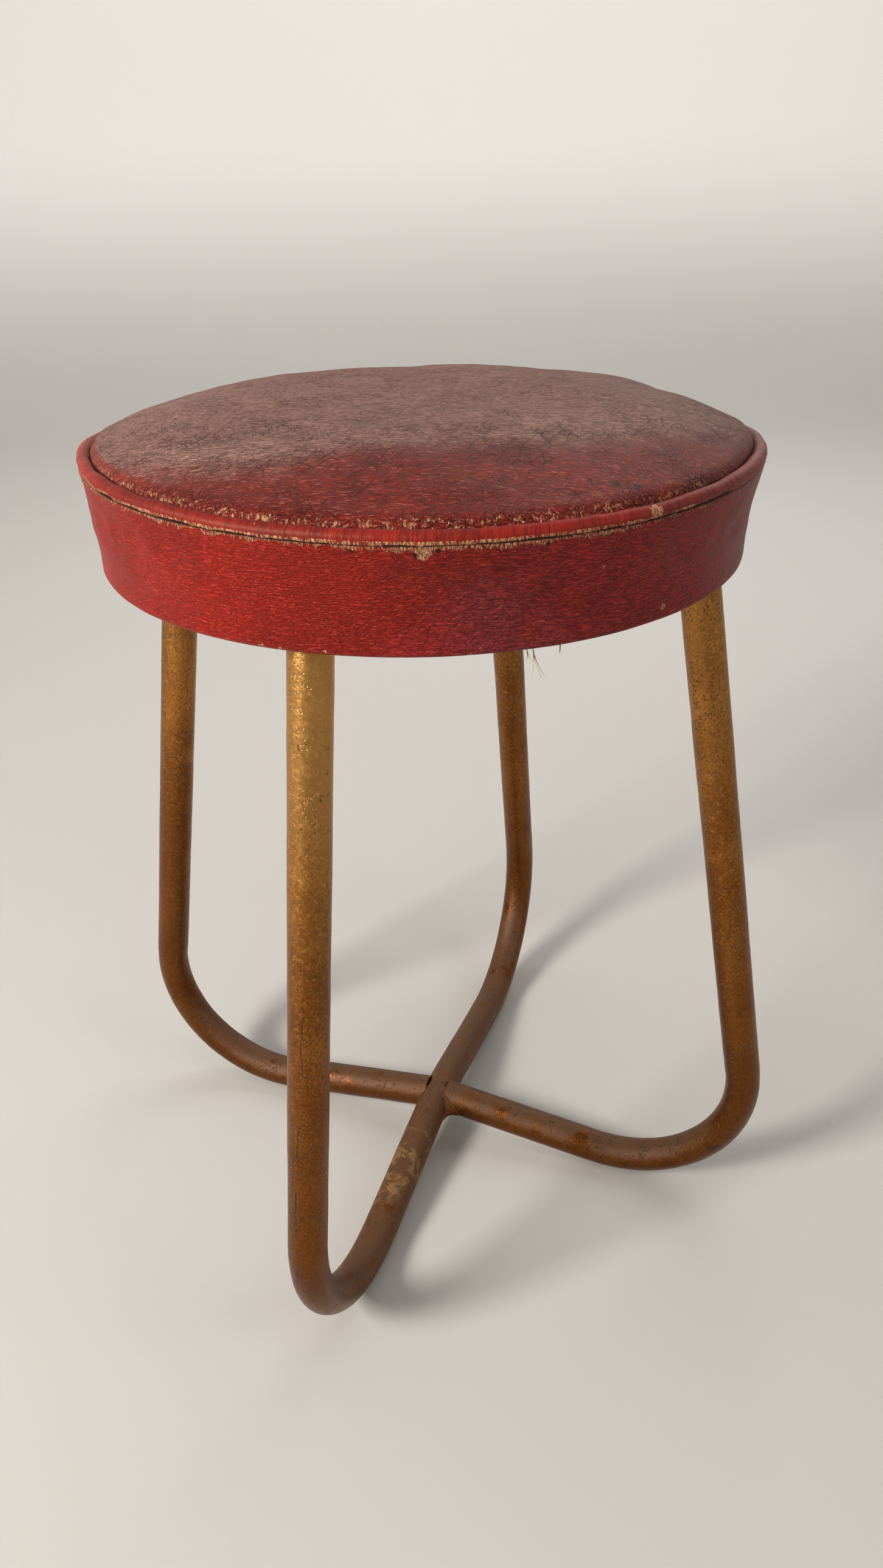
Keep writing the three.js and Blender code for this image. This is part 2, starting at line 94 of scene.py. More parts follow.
CAMERA_AZIMUTH = radians(20.0)
CAMERA_ELEVATION = radians(29.33)
CAMERA_DISTANCE = 657 * MM
CAMERA_ROLL = radians(1.19)
CAMERA_VIEW_ANGLE = radians(67.95)
AIM_HEIGHT = 258.5 * MM
AIM_RIGHT = 6.4 * MM


# ---- Mesh helpers ----

def smooth_noise(points, size, seed, waves=24):
    """A smooth random field between about -1 and 1, with bumps of about the given size."""
    draw = np.random.default_rng(seed)
    points = np.asarray(points, float)
    total = np.zeros(points.shape[:-1])
    for _ in range(waves):
        direction = draw.normal(size=3)
        direction /= np.linalg.norm(direction)
        frequency = TAU / (size * draw.uniform(0.7, 2.2))
        total += np.sin(points @ direction * frequency + draw.uniform(0, TAU))
    return total / sqrt(waves)


def smooth_step(value, low, high):
    t = np.clip((np.asarray(value, float) - low) / (high - low), 0, 1)
    return t * t * (3 - 2 * t)


def finish_piece(mesh, look, nodes=(), sharp=50):
    """The piece of a mesh, named after it: its look and the CAD nodes it replaces."""
    mesh.validate()
    mesh.update()
    mesh.shade_smooth()
    mesh.set_sharp_from_angle(angle=radians(sharp))
    mesh.materials.append(look)
    piece = bpy.data.objects.new(mesh.name, mesh)
    bpy.context.collection.objects.link(piece)
    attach(piece, "root")
    if nodes:
        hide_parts(*nodes)
    return piece


BOTH_ENDS = (0, -1)


def grid_mesh(name, rows, uv=None, along=False, capped=()):
    """A quad mesh, facing outward, from closed rows of points. along joins the last row to the
    first. Each capped row is closed with a fan to its middle."""
    rows = np.asarray(rows, float)
    count, width = rows.shape[:2]
    points = rows.reshape(-1, 3)
    grid = np.meshgrid(np.arange(count if along else count - 1), np.arange(width), indexing="ij")
    i, j = (index.ravel() for index in grid)
    corners = [(i, j), (i, j + 1), (i + 1, j + 1), (i + 1, j)]
    faces = np.stack([(a % count) * width + b % width for a, b in corners], 1).tolist()
    for row in capped:
        rim = np.arange(width) + row % count * width
        middle = np.full(width, len(points))
        points = np.append(points, rows[row].mean(0)[None], 0)
        faces += np.stack([middle, rim, np.roll(rim, -1)], 1).tolist()
    mesh = bpy.data.meshes.new(name)
    mesh.from_pydata(points.tolist(), [], faces)
    if uv is not None:
        places = [np.stack([uv[a, b] for a, b in corners], 1).reshape(-1, 2)]
        for row in capped:
            low, high = uv[row, :-1], uv[row, 1:]
            places.append(np.stack([(low + high) / 2, low, high], 1).reshape(-1, 2))
        mesh.uv_layers.new(name="UVMap").data.foreach_set("uv", np.concatenate(places).ravel())
    work = bmesh.new()
    work.from_mesh(mesh)
    bmesh.ops.recalc_face_normals(work, faces=work.faces)
    work.to_mesh(mesh)
    work.free()
    return mesh


def ring_angles(count):
    return np.arange(count) * TAU / count


def grid_uv(along, around):
    """UV values for grid_mesh, one more each way than its points, from distances in metres."""
    v, u = np.meshgrid(along, around, indexing="ij")
    return np.stack([u, v], -1)


def turned(radius, height, angles):
    """Rows of points of revolution: arrays of radius and height, each (rows, angles) or (rows, 1)."""
    radius, height = np.broadcast_arrays(radius, height)
    x, y = radius * np.cos(angles), radius * np.sin(angles)
    return np.stack([x, y, np.broadcast_to(height, x.shape)], -1)


def lathe(name, profile, segments=96):
    """A closed solid of revolution from [radius, height] points that start and end on the axis."""
    profile = np.array(profile)
    rows = turned(profile[1:-1, :1], profile[1:-1, 1:], ring_angles(segments))
    return grid_mesh(name, rows, capped=BOTH_ENDS)


def points_of(mesh):
    return np.array([vertex.co for vertex in mesh.vertices])


def reshape(mesh, change):
    mesh.vertices.foreach_set("co", change(points_of(mesh)).ravel())


def rounded(profile, radius, steps=3):
    """The profile with its inner corners rounded."""
    profile = [np.array(point, float) for point in profile]
    out = [profile[0]]
    for before, corner, after in zip(profile, profile[1:], profile[2:]):
        to_before, to_after = before - corner, after - corner
        reach = min(radius, np.linalg.norm(to_before) / 2.01, np.linalg.norm(to_after) / 2.01)
        start = corner + to_before / np.linalg.norm(to_before) * reach
        end = corner + to_after / np.linalg.norm(to_after) * reach
        for t in np.linspace(0, 1, steps + 1):
            out.append((1 - t) ** 2 * start + 2 * t * (1 - t) * corner + t ** 2 * end)
    out.append(profile[-1])
    return out


def joined(name, meshes):
    """One mesh from several, which are deleted."""
    work = bmesh.new()
    for mesh in meshes:
        work.from_mesh(mesh)
        bpy.data.meshes.remove(mesh)
    mesh = bpy.data.meshes.new(name)
    work.to_mesh(mesh)
    work.free()
    return mesh


def crown_rise(x, y):
    """Height of the stuffed top over its seam before it is blown up: a steep lip at the seam, a
    full shoulder that is softest at the left, and a middle pressed a little hollow."""
    share = np.minimum(np.hypot(x, y) / PANEL_EDGE, 1)
    bearing = np.arctan2(y, x)
    softer = np.exp(-(((bearing % TAU) - radians(205)) / radians(32)) ** 2)
    power = 6.3 + 0.5 * np.sin(bearing) - 0.6 * softer
    lip = LIP_RISE * (1 - np.exp((share - 1) * PANEL_EDGE / (3.2 * MM)))
    shoulder = SHOULDER_RISE * (1 - share ** power)
    hollow = np.exp(-(((x - 8 * MM) / (62 * MM)) ** 2 + ((y + 12 * MM) / (46 * MM)) ** 2))
    return lip + shoulder - 1.4 * MM * hollow * (1 - share ** 4)


def settle(points):
    """The old seat has sunk out of true above its board: lower all round the back, pulled a little
    oval, and shifted towards the front."""
    points = np.array(points, float)
    x, y, z = (points[..., index] for index in range(3))
    share = smooth_step(z, BOARD_HIGH[2], WELT_HEIGHT - 3 * MM)
    bearing = np.arctan2(y, x)
    turn = np.degrees(bearing) % 360
    out = np.hypot(x, y) / WELT_RADIUS
    back = smooth_step(turn, 5, 38) * smooth_step(-turn, -208, -176)
    saddle = 1.2 * np.cos(2 * bearing) + 1.3 * np.sin(2 * bearing) - 3.6 * back
    sink = 0.003 * x - 0.016 * y + saddle * out ** 2 * MM - 0.4 * MM
    reach = (0.45 * np.cos(2 * bearing) - 1.1 * np.sin(2 * bearing) - 0.5) * MM * out
    moved = (x + (reach * np.cos(bearing) + 0.7 * MM) * share,
             y + (reach * np.sin(bearing) - 1.5 * MM) * share, z + sink * share)
    return np.stack(moved, -1)


def band_reach(height):
    """Radius of the outside of the band at a height: upright at the board, flared to the seam."""
    low, high = BAND_BOTTOM + 9 * MM, WELT_HEIGHT - 2.8 * MM
    flare = np.clip((np.asarray(height) - low) / (high - low), 0, 1) ** 1.4
    return BAND_RADIUS + (WELT_RADIUS + 3.1 * MM - BAND_RADIUS) * flare


# ---- Material helpers ----

class Value:
    """A number or vector worked out by a material's nodes. Its sums and methods add nodes."""

    def __init__(self, look, socket):
        self.look = look
        self.socket = socket

    def __add__(self, other):
        return self.look.math("ADD", self, other)

    def __sub__(self, other):
        return self.look.math("SUBTRACT", self, other)

    def __mul__(self, other):
        return self.look.math("MULTIPLY", self, other)

    def __or__(self, other):
        return self.look.math("MAXIMUM", self, other)

    def below(self, limit):
        return self.look.math("LESS_THAN", self, limit)

    def step(self, low, high, out_low=0.0, out_high=1.0):
        """The value taken smoothly from low..high to out_low..out_high."""
        ends = {"Value": self, "From Min": low, "From Max": high, "To Min": out_low, "To Max": out_high}
        return self.look.node("MapRange", "Result", ends, interpolation_type="SMOOTHSTEP")

    def within(self, low, high, soft):
        return self.step(low - soft, low + soft) * self.step(high + soft, high - soft)

    def shaken(self, amount, scale, vector=None, detail=3.0):
        """The value, pushed up and down by a noise."""
        noise = (vector or self.look.place).noise(scale, detail, 0.6)
        return self + (noise - 0.5) * (2 * amount)

    def axis(self, index):
        return self.look.node("SeparateXYZ", index, {0: self})

    def stretch(self, scale, turn=0.0):
        """The vector scaled, then turned about the upright axis by degrees."""
        rotation = (0, 0, radians(turn))
        return self.look.node("Mapping", "Vector", {"Vector": self, "Scale": scale, "Rotation": rotation})

    def noise(self, scale, detail=4.0, rough=0.55, warp=0.0, output="Fac"):
        inputs = {"Vector": self, "Scale": scale, "Detail": detail, "Roughness": rough, "Distortion": warp}
        return self.look.node("TexNoise", output, inputs)

    def warped(self, scale, amount):
        """The vector, pushed about by a noise."""
        push = self.noise(scale, 2.0, 0.5, output="Color")
        return self.look.node("VectorMath", "Vector", {0: push, 1: (2 * amount,) * 3, 2: self},
                              operation="MULTIPLY_ADD")

    def cells(self, scale, feature="F1", output="Distance"):
        return self.look.node("TexVoronoi", output, {"Vector": self, "Scale": scale}, feature=feature)

    def spot(self, point, size, ragged, scale=500):
        """A ragged spot of the given radius round a point."""
        away = self.look.node("VectorMath", "Value", {0: self, 1: point}, operation="DISTANCE")
        return away.shaken(ragged, scale).step(size, size * 0.8)


class Look:
    """A node material, built up in layers of colour and of relief."""

    def __init__(self, name, **shader):
        self.material = bpy.data.materials.new(name)
        self.material.use_nodes = True
        self.nodes = self.material.node_tree.nodes
        self.shader = self.nodes["Principled BSDF"]
        for socket, value in shader.items():
            self.put(self.shader.inputs[socket.replace("_", " ")], value)
        coordinates = self.nodes.new("ShaderNodeTexCoord").outputs
        self.place = Value(self, coordinates["Object"])
        self.uv = Value(self, coordinates["UV"])
        self.normal = Value(self, coordinates["Normal"])
        self.colour = None
        self.relief = None

    def put(self, socket, value):
        if isinstance(value, Value):
            self.material.node_tree.links.new(value.socket, socket)
        elif socket.type == "RGBA":
            socket.default_value = (*value, 1)
        else:
            socket.default_value = value

    def node(self, kind, output, inputs, **settings):
        """One output of a new node, given its inputs by name or number."""
        node = self.nodes.new("ShaderNode" + kind)
        for name, setting in settings.items():
            setattr(node, name, setting)
        for name, value in inputs.items():
            self.put(node.inputs[name], value)
        return Value(self, node.outputs[output])

    def math(self, kind, a, b=0.0):
        return self.node("Math", 0, {0: a, 1: b}, operation=kind)

    def mix(self, factor, a, b):
        """A colour between two others. The mix node numbers its colours 6, 7 and, going out, 2."""
        return self.node("Mix", 2, {0: factor, 6: a, 7: b}, data_type="RGBA")

    def base(self, factor, a, b):
        self.colour = self.mix(factor, a, b)

    def paint(self, mask, colour):
        self.colour = self.mix(mask, self.colour, colour)

    def emboss(self, height, distance, strength=1.0):
        inputs = {"Height": height, "Distance": distance, "Strength": strength}
        if self.relief:
            inputs["Normal"] = self.relief
        self.relief = self.node("Bump", "Normal", inputs)

    def finish(self, roughness=None, metallic=None):
        """The material, with its layers and the given values linked to its shader."""
        for name, value in (("Base Color", self.colour), ("Normal", self.relief),
                            ("Roughness", roughness), ("Metallic", metallic)):
            if value:
                self.put(self.shader.inputs[name], value)
        return self.material

    def bearing(self):
        """Direction from the stool's axis in degrees. It runs from -250 to 110, so that it jumps
        at the back."""
        front = self.place.stretch((1, 1, 1), turn=-MIDDLE_FRONT)
        return self.math("ARCTAN2", front.axis(1), front.axis(0)) * (180 / pi) + MIDDLE_FRONT


def highest(first, *others):
    for other in others:
        first = first | other
    return first


# ---- Looks ----

WARM_GLOSS = (1.0, 0.7, 0.56)
SEAM_SHADOW = (0.022, 0.006, 0.005)


def gold_paint():
    """Old gold-bronze paint: mottled, pitted, browned on top near the floor, scraped, scratched; painted
    light on its upper front parts and painted shade towards the floor.
    """
    look = Look("gold_paint")
    place = look.place
    height = place.axis(2)
    mottle = place.noise(420, 4, 0.7)
    grain = place.noise(900, 3, 0.6)
    streaks = place.stretch((1, 1, 0.16)).noise(150, 4, 0.6)
    look.base(place.noise(28, 5, 0.6).step(0.36, 0.66), (0.27, 0.092, 0.015), (0.44, 0.175, 0.034))
    look.paint(streaks.step(0.45, 0.8, 0, 0.6), (0.19, 0.055, 0.009))
    look.paint(mottle.step(0.48, 0.72, 0, 0.6), (0.62, 0.31, 0.08))
    look.paint(grain.step(0.56, 0.38, 0, 0.6), (0.095, 0.034, 0.008))

    # Painted light: a lighter gold on the upper parts of the tubes, strongest on the front side.
    facing = place.axis(1).step(-0.07, -0.13, 0.3, 1)
    rise = height.shaken(0.03, 25)
    look.paint(rise.step(0.22, 0.4, 0, 0.5) * facing, (0.75, 0.42, 0.13))
    # Painted shade: the tubes darken towards the floor.
    look.paint(rise.step(0.36, 0.08, 0, 0.74), (0.105, 0.028, 0.004))
    patches = place.noise(55, 4, 0.6).step(0.28, 0.46)
    grey = look.normal.axis(2).step(0.0, 0.75) * height.step(0.095, 0.05) * patches
    look.paint(grey * 0.75, (0.085, 0.036, 0.013))

    slant = place.warped(45, 9 * MM).stretch((0.55, 1, 1), turn=35)
    scrape = place.spot((-3 * MM, -62 * MM, 27 * MM), 0.034, 0.02, 60)
    look.paint(slant.noise(70, 5, 0.7).step(0.5, 0.6) * scrape * 0.5, (0.36, 0.2, 0.072))
    green = place.noise(75, 4, 0.7).step(0.6, 0.68) * height.step(0.13, 0.05)
    look.paint(green * 0.6, (0.035, 0.036, 0.022))

    pits = place.cells(430).step(0.28, 0.14) | place.noise(330, 3, 0.7).step(0.6, 0.66)
    pits = pits * place.noise(60, 3).step(0.44, 0.58)
    look.paint(pits * 0.75, (0.028, 0.014, 0.006))
    scratches = leg_scratches(look)
    look.paint(scratches * 0.92, (0.022, 0.014, 0.01))

    look.emboss(mottle - pits, 0.22 * MM)
    look.emboss(grain - scratches, 0.16 * MM, 0.9)
    dull = grey | scratches * 0.6
    roughness = (mottle + dull * 0.4).step(0.3, 0.95, 0.27, 0.6)
    return look.finish(roughness, (dull | pits).step(0, 1, 0.92, 0.35))


def leg_scratches(look):
    """Long dark knocks down the outside of the front leg."""
    x, y, z = (look.place.axis(index) for index in range(3))
    wander = look.place.stretch((0.1, 0.1, 1)).noise(90, 3).step(0.2, 0.8, -1.2 * MM, 1.2 * MM)
    marks = []
    for across, low, high, width in ((-2.2, 108, 140, 0.55), (-1.5, 76, 92, 0.35),
                                     (1.5, 196, 240, 0.3), (-0.6, 150, 176, 0.4)):
        off = look.math("ABSOLUTE", x + wander - across * MM)
        span = z.step(low * MM, (low + 6) * MM) * z.step(high * MM, (high - 6) * MM)
        marks.append(off.step(width * MM, width * 0.5 * MM) * span)
    broken = look.place.noise(700, 2).step(0.32, 0.45)
    return highest(*marks) * y.step(-0.13, -0.14) * broken


def crepe(vector, size):
    """Height of crepe-grained leathercloth: pebbles of a size, drawn out along the first axis."""
    pushed = vector.warped(0.6 / size, 0.45 * size).stretch((0.62, 2.6, 1.4))
    pebbles = pushed.cells(1 / size, "DISTANCE_TO_EDGE").step(0.0, 0.26)
    wavy = vector.stretch((0.55, 3.2, 1.5)).noise(0.8 / size, 4, 0.65, 0.4).step(0.38, 0.62)
    return pebbles * 0.5 + wavy * 0.5


def threads(look, most):
    """Bare backing threads where the red skin has worn off along a seam: (mask, colour). UV runs
    along the seam and away from it, in metres. The wear reaches furthest round the front."""
    bearing, uv = look.bearing(), look.uv
    worst = bearing.within(-112, -94, 2.9) | bearing.within(-78, -41, 4.6)
    share = bearing.within(-156, -20, 9.2) * 0.7 + worst * 0.3 + 0.12
    patchy = uv.stretch((1, 0, 1)).noise(55, 5, 0.8).step(0.3, 0.6)
    reach = share * patchy * most - 0.7 * MM
    comb = uv.stretch((1, 0.12, 1)).noise(900, 3, 0.75)
    ragged = (uv.axis(1) + (comb - 0.5) * (6 * MM)).shaken(0.9 * MM, 300)
    gaps = uv.stretch((1, 0.4, 1)).noise(1300, 2, 0.6).step(0.38, 0.5)
    weave = uv.stretch((1, 0.3, 1)).noise(1700, 2).step(0.4, 0.64)
    mask = (reach - ragged).step(0, 0.5 * MM) * gaps
    return mask, look.mix(weave, (0.24, 0.065, 0.035), (0.55, 0.33, 0.18))


def crease_line(look, depth):
    """The dark line of painted shade where two pieces meet at a seam."""
    return look.uv.axis(1).shaken(0.25 * MM, 500).step(depth, depth * 0.4)


def specks(vector, scale, share, size):
    """Small chips scattered at random, over a share of the cells."""
    chosen = vector.cells(scale, output="Color").axis(0).below(share)
    return chosen * vector.cells(scale).shaken(0.07, scale * 9, vector).below(size)


def behind(bearing):
    """How far round at the back a bearing is."""
    return bearing.step(-195, -235) | bearing.step(50, 95)


def seat_point(degrees, reach, height):
    """A point of the settled seat at a bearing, a distance from the axis and a height."""
    return tuple(settle(turned(reach, height, radians(degrees))))


def on_band(degrees, height):
    return seat_point(degrees, band_reach(height), height)


def on_panel(degrees, inset):
    """A point on the slope of the top panel, by its bearing and its distance from the seam."""
    x, y, _ = turned(PANEL_EDGE - inset, 0.0, radians(degrees))
    return seat_point(degrees, PANEL_EDGE - inset, SEAM_HEIGHT + crown_rise(x, y))


def leathercloth(name, gloss):
    return Look(name, Specular_IOR_Level=gloss, Specular_Tint=WARM_GLOSS)


def band_cloth():
    """The side band: bright red at the front left, maroon round the right with painted shade, a painted
    pink sheen at the left side and a painted violet sheen below the seam.
    """
    look = leathercloth("band_leathercloth", 0.26)
    place = look.place
    height = place.axis(2)
    bearing = look.bearing().shaken(5.73, 16)
    clouds = place.noise(22, 5, 0.6).step(0.35, 0.65)
    slanted = (look.bearing() - (height - BAND_BOTTOM) * 458).shaken(2.86, 60)
    look.base(clouds, (0.4, 0.01, 0.004), (0.3, 0.007, 0.003))
    # Darker red, then maroon, round the right: partly the cover's own two tones, partly painted shade away
    # from the light.
    look.paint(slanted.step(-104, -84, 0, 0.7), (0.26, 0.008, 0.005))
    look.paint(slanted.step(-80, -74), look.mix(clouds, (0.4, 0.018, 0.018), (0.29, 0.013, 0.015)))
    # Painted sheen: a violet glint on the red below the seam at the right front.
    violet_sheen = bearing.within(-66, -34, 6.9) * place.noise(24, 4).step(0.4, 0.62)
    below_seam = height.step(WELT_HEIGHT - 6 * MM, WELT_HEIGHT - 18 * MM)
    look.paint(violet_sheen * below_seam * 0.55, (0.25, 0.036, 0.045))
    # Painted sheen: a pinker red where the band turns away at the left; painted shade: a darker red at the
    # right.
    left, right = bearing.step(-128, -158), bearing.step(-26, 4)
    look.paint((left | right) * 0.75, look.mix(right, (0.36, 0.05, 0.04), (0.2, 0.03, 0.026)))
    look.paint(behind(bearing), (0.24, 0.026, 0.022))
    look.paint(place.noise(90, 5, 0.7).step(0.56, 0.78, 0, 0.45), (0.095, 0.006, 0.006))
    grain = crepe(look.uv, 2.3 * MM)
    fissures = bearing.step(-85, -55, 0.4, 0.72) | behind(bearing) * 0.85
    look.paint(grain.step(0.66, 0.22) * fissures, (0.045, 0.003, 0.004))
    # Painted highlight: pink glints on the tops of the grain.
    look.paint(grain.step(0.7, 0.95, 0, 0.18), (0.52, 0.11, 0.085))

    worn, bare = threads(look, 3.7 * MM)
    hem_edge = (height - BAND_BOTTOM).shaken(1.6 * MM, 300).step(1.4 * MM, 1 * MM)
    chips = hem_edge * place.noise(62, 3).step(0.62, 0.68)
    scuffs = [place.spot(on_band(degrees, BAND_BOTTOM + rise * MM), size * MM, ragged * MM, scale)
              for degrees, rise, size, ragged, scale in (
                  (-31, 6, 1.6, 1.3, 500), (-94, 1, 1.7, 1.2, 500), (-91, 1, 1.2, 1.0, 500),
                  (-84, 2, 0.9, 0.6, 500), (-44, 31, 0.9, 0.5, 500), (-69.5, 44, 3.4, 3.4, 420))]
    worn = highest(worn, chips, *scuffs)
    look.paint(worn, bare)
    holes = highest(*[place.spot(on_band(degrees, WELT_HEIGHT - drop * MM), size * MM, 1.6 * MM, 700)
                      for degrees, drop, size in ((-70.6, 5.4, 1.1), (-67.6, 3.8, 0.9),
                                                  (-79, 4.2, 0.8), (-53, 3.8, 0.8))])
    crease = crease_line(look, 1.2 * MM) * look.bearing().within(-134, 20, 8.6)
    # Painted shade: dark inside the small holes and along the seam crease.
    look.paint(holes | crease, SEAM_SHADOW)
    look.emboss(grain, 0.8 * MM)
    look.emboss(look.uv.noise(90, 3), 0.8 * MM, 0.5)
    drawn = look.uv.stretch((1, 0.1, 1), turn=12).noise(420, 2, 0.5, 0.6)
    look.emboss(drawn * bearing.within(-20, 40, 11.5), 0.5 * MM, 0.9)
    look.emboss(worn + holes * 2.0, -0.3 * MM, 0.8)
    return look.finish((grain + worn * 2.0).step(0, 2.2, 0.35, 0.85))


def top_cloth():
    """The top panel: a dusty brown where it is flat, from fading with a painted sheen, red down its front
    slope with painted light at the left, cracked.
    """
    look = leathercloth("top_leathercloth", 0.2)
    place = look.place
    x, y = place.axis(0), place.axis(1)
    steep = look.normal.axis(2).shaken(0.02, 60)
    sideways = y * 0.36 + x * 0.9
    forward = x * 0.36 - y * 0.9 + (sideways * sideways * 2.4 + sideways * 0.07)
    forward = forward.shaken(0.026, 15, None, 5)
    # Fading and dirt with a painted sheen: the flat top away from the front turns a pale dusty brown, as if
    # lit by reflections of pale surroundings.
    faded_and_sheen = forward.step(0.123, 0.099) * steep.step(0.8, 0.92)
    dust_and_sheen = look.mix(place.noise(13, 5, 0.6).step(0.35, 0.65), (0.275, 0.14, 0.115), (0.34, 0.185, 0.155))
    look.base(place.noise(34, 4).step(0.35, 0.7), (0.23, 0.014, 0.009), (0.15, 0.01, 0.008))
    # Painted light: a lighter red down the left side, towards the light.
    look.paint(x.shaken(0.02, 20).step(-0.03, -0.13, 0, 0.65), (0.36, 0.05, 0.034))
    look.paint(faded_and_sheen, dust_and_sheen)
    rubbed = place.noise(150, 4, 0.7) * steep.step(0.86, 0.97) * faded_and_sheen
    look.paint(rubbed.step(0.5, 0.72, 0, 0.6), (0.38, 0.225, 0.19))
    grain = crepe(place.stretch((1, 1, 1), turn=-12), 2.6 * MM)
    look.paint(grain.step(0.66, 0.2, 0, 0.72), (0.06, 0.015, 0.011))
    # Lighter tops of the grain: partly rubbed and dusty, partly painted highlight.
    look.paint(grain.step(0.72, 0.95, 0, 0.3), (0.46, 0.24, 0.19))

    broken = place.warped(60, 3 * MM)
    coarse = broken.stretch((1.5, 0.7, 1), turn=8).cells(120, "DISTANCE_TO_EDGE").step(0.03, 0.008)
    coarse = coarse * place.noise(30, 4, 0.6).step(0.47, 0.6) * forward.step(0.03, 0.09)
    fine = broken.stretch((1, 1.3, 1)).cells(330, "DISTANCE_TO_EDGE").step(0.07, 0.015)
    cracks = coarse | fine * place.noise(60, 3).step(0.48, 0.6) * 0.7
    look.paint(cracks * 0.8, (0.026, 0.005, 0.005))

    worn, bare = threads(look, 4.8 * MM)
    flecks = look.uv.noise(420, 3, 0.7).step(0.5, 0.58)
    look.paint(worn * flecks | specks(place.stretch((0.6, 1.5, 1)), 44, 0.045, 0.07), bare)
    marks = [place.spot(on_panel(degrees, inset * MM), size * MM, 2.2 * MM, 380)
             for degrees, inset, size in ((-39, 9, 2.2), (-42.5, 14, 1.3), (-36, 6, 1.8), (-46, 8, 1.0))]
    look.paint(highest(*marks) * 0.85, (0.016, 0.008, 0.009))
    rubbed_front = look.bearing().within(-122, -28, 8.6)
    # Painted shade along the seam, left out where the front is rubbed.
    look.paint(crease_line(look, 1 * MM) - rubbed_front | 0.0, (0.03, 0.007, 0.006))
    look.emboss(grain, 0.7 * MM)
    look.emboss(cracks, -0.35 * MM)
    return look.finish((grain + faded_and_sheen).step(0, 2, 0.42, 0.66))


def welt_cloth():
    """The piping: the same red, rubbed along both seams and bare in one place at the right front, with
    painted light making it lighter round the left.
    """
    look = leathercloth("welt_leathercloth", 0.26)
    bearing = look.bearing().shaken(6.9, 20)
    look.base(look.place.noise(30, 5, 0.6).step(0.35, 0.65), (0.25, 0.013, 0.008), (0.165, 0.012, 0.008))
    look.paint(bearing.step(-45, 0, 0, 0.7), (0.17, 0.036, 0.03))
    # Painted light: a lighter red round the left.
    look.paint(bearing.step(-118, -155, 0, 0.6), (0.38, 0.06, 0.044))
    look.paint(behind(bearing), (0.2, 0.032, 0.026))
    across = look.uv.stretch((1, 0.14, 1)).noise(620, 3, 0.65)
    look.paint(across.step(0.55, 0.35, 0, 0.6), (0.06, 0.006, 0.005))
    worn, bare = threads(look, 3.6 * MM)
    patch = look.place.spot(on_band(-36, WELT_HEIGHT + 1 * MM), 3.6 * MM, 3 * MM, 450)
    worn = highest(worn, patch, specks(look.uv, 150, 0.05, 0.12))
    look.paint(worn, bare)
    look.paint(crease_line(look, 0.45 * MM), SEAM_SHADOW)
    look.emboss(across, 0.5 * MM)
    look.emboss(worn, -0.2 * MM, 0.8)
    return look.finish(worn.step(0, 1, 0.5, 0.85))


def plain_look(name, dark, light, scale, roughness, relief=0.2 * MM, metallic=0.0, grain=(1, 1, 1)):
    """A two-tone mottled look with a relief, for what is seldom seen."""
    look = Look(name, Metallic=metallic)
    vector = look.place.stretch(grain)
    broad, fine = vector.noise(scale, 5, 0.65), vector.noise(scale * 7, 3, 0.6)
    look.base(broad.step(0.35, 0.68), dark, light)
    look.paint(fine.step(0.58, 0.38, 0, 0.5), tuple(0.45 * share for share in dark))
    look.emboss(broad + fine, relief, 0.8)
    return look.finish(fine.step(0.3, 0.7, roughness - 0.1, roughness + 0.1))


def hessian():
    """Coarse plain-woven jute, browned by age."""
    look = Look("hessian", Roughness=0.95)
    place = look.place
    waver = (place.noise(240, 2) - 0.5) * 1.5
    warp, weft = (look.math("SINE", place.axis(index) * (TAU / THREAD_PITCH) + waver) for index in (0, 1))
    height = warp * weft
    look.base(height.step(-0.5, 0.6), (0.16, 0.105, 0.055), (0.42, 0.3, 0.17))
    look.paint(place.noise(18, 5, 0.65).step(0.48, 0.7, 0, 0.6), (0.17, 0.12, 0.075))
    look.emboss(height, 0.35 * MM, 0.9)
    return look.finish()


GOLD = gold_paint()
BAND = band_cloth()
TOP = top_cloth()
WELT = welt_cloth()
HESSIAN = hessian()
STEEL = plain_look("rusty_steel", (0.16, 0.075, 0.035), (0.3, 0.26, 0.23), 260, 0.5, metallic=0.75)
PLYWOOD = plain_look("plywood", (0.36, 0.22, 0.11), (0.6, 0.42, 0.24), 60, 0.75, grain=(0.12, 1, 6))
COIR = plain_look("coir", (0.14, 0.08, 0.04), (0.38, 0.25, 0.13), 190, 0.95, 0.6 * MM, grain=(1, 1, 2))
COTTON = plain_look("cotton_felt", (0.52, 0.47, 0.38), (0.78, 0.74, 0.65), 70, 0.95, 0.5 * MM)
CORD = plain_look("piping_cord", (0.45, 0.37, 0.25), (0.72, 0.64, 0.5), 500, 0.9)
FIBRE = plain_look("bare_threads", (0.36, 0.21, 0.09), (0.7, 0.48, 0.24), 300, 0.9, 0.05 * MM)


# ---- Tube frame ----

def leg_line(lean):
    """Centre line of one leg in its own plane, top first, down round the foot bend to its inner
    end: rows of radius, height and the direction of travel."""
    angles = np.linspace(pi / 2 + lean, -RUN_RISE, 46)
    bend = np.stack([FOOT_RADIUS + BEND_RADIUS * np.sin(angles),
                     TUBE_RADIUS + BEND_RADIUS * (1 - np.cos(angles)),
                     -np.cos(angles), -np.sin(angles)], 1)
    start = bend[0]
    back = np.linspace((LEG_TOP - start[1]) / -start[3], 0, 70)[:-1, None]
    straight = np.concatenate([start[:2] - back * start[2:], np.repeat(start[None, 2:], 69, 0)], 1)
    return np.concatenate([straight, bend])


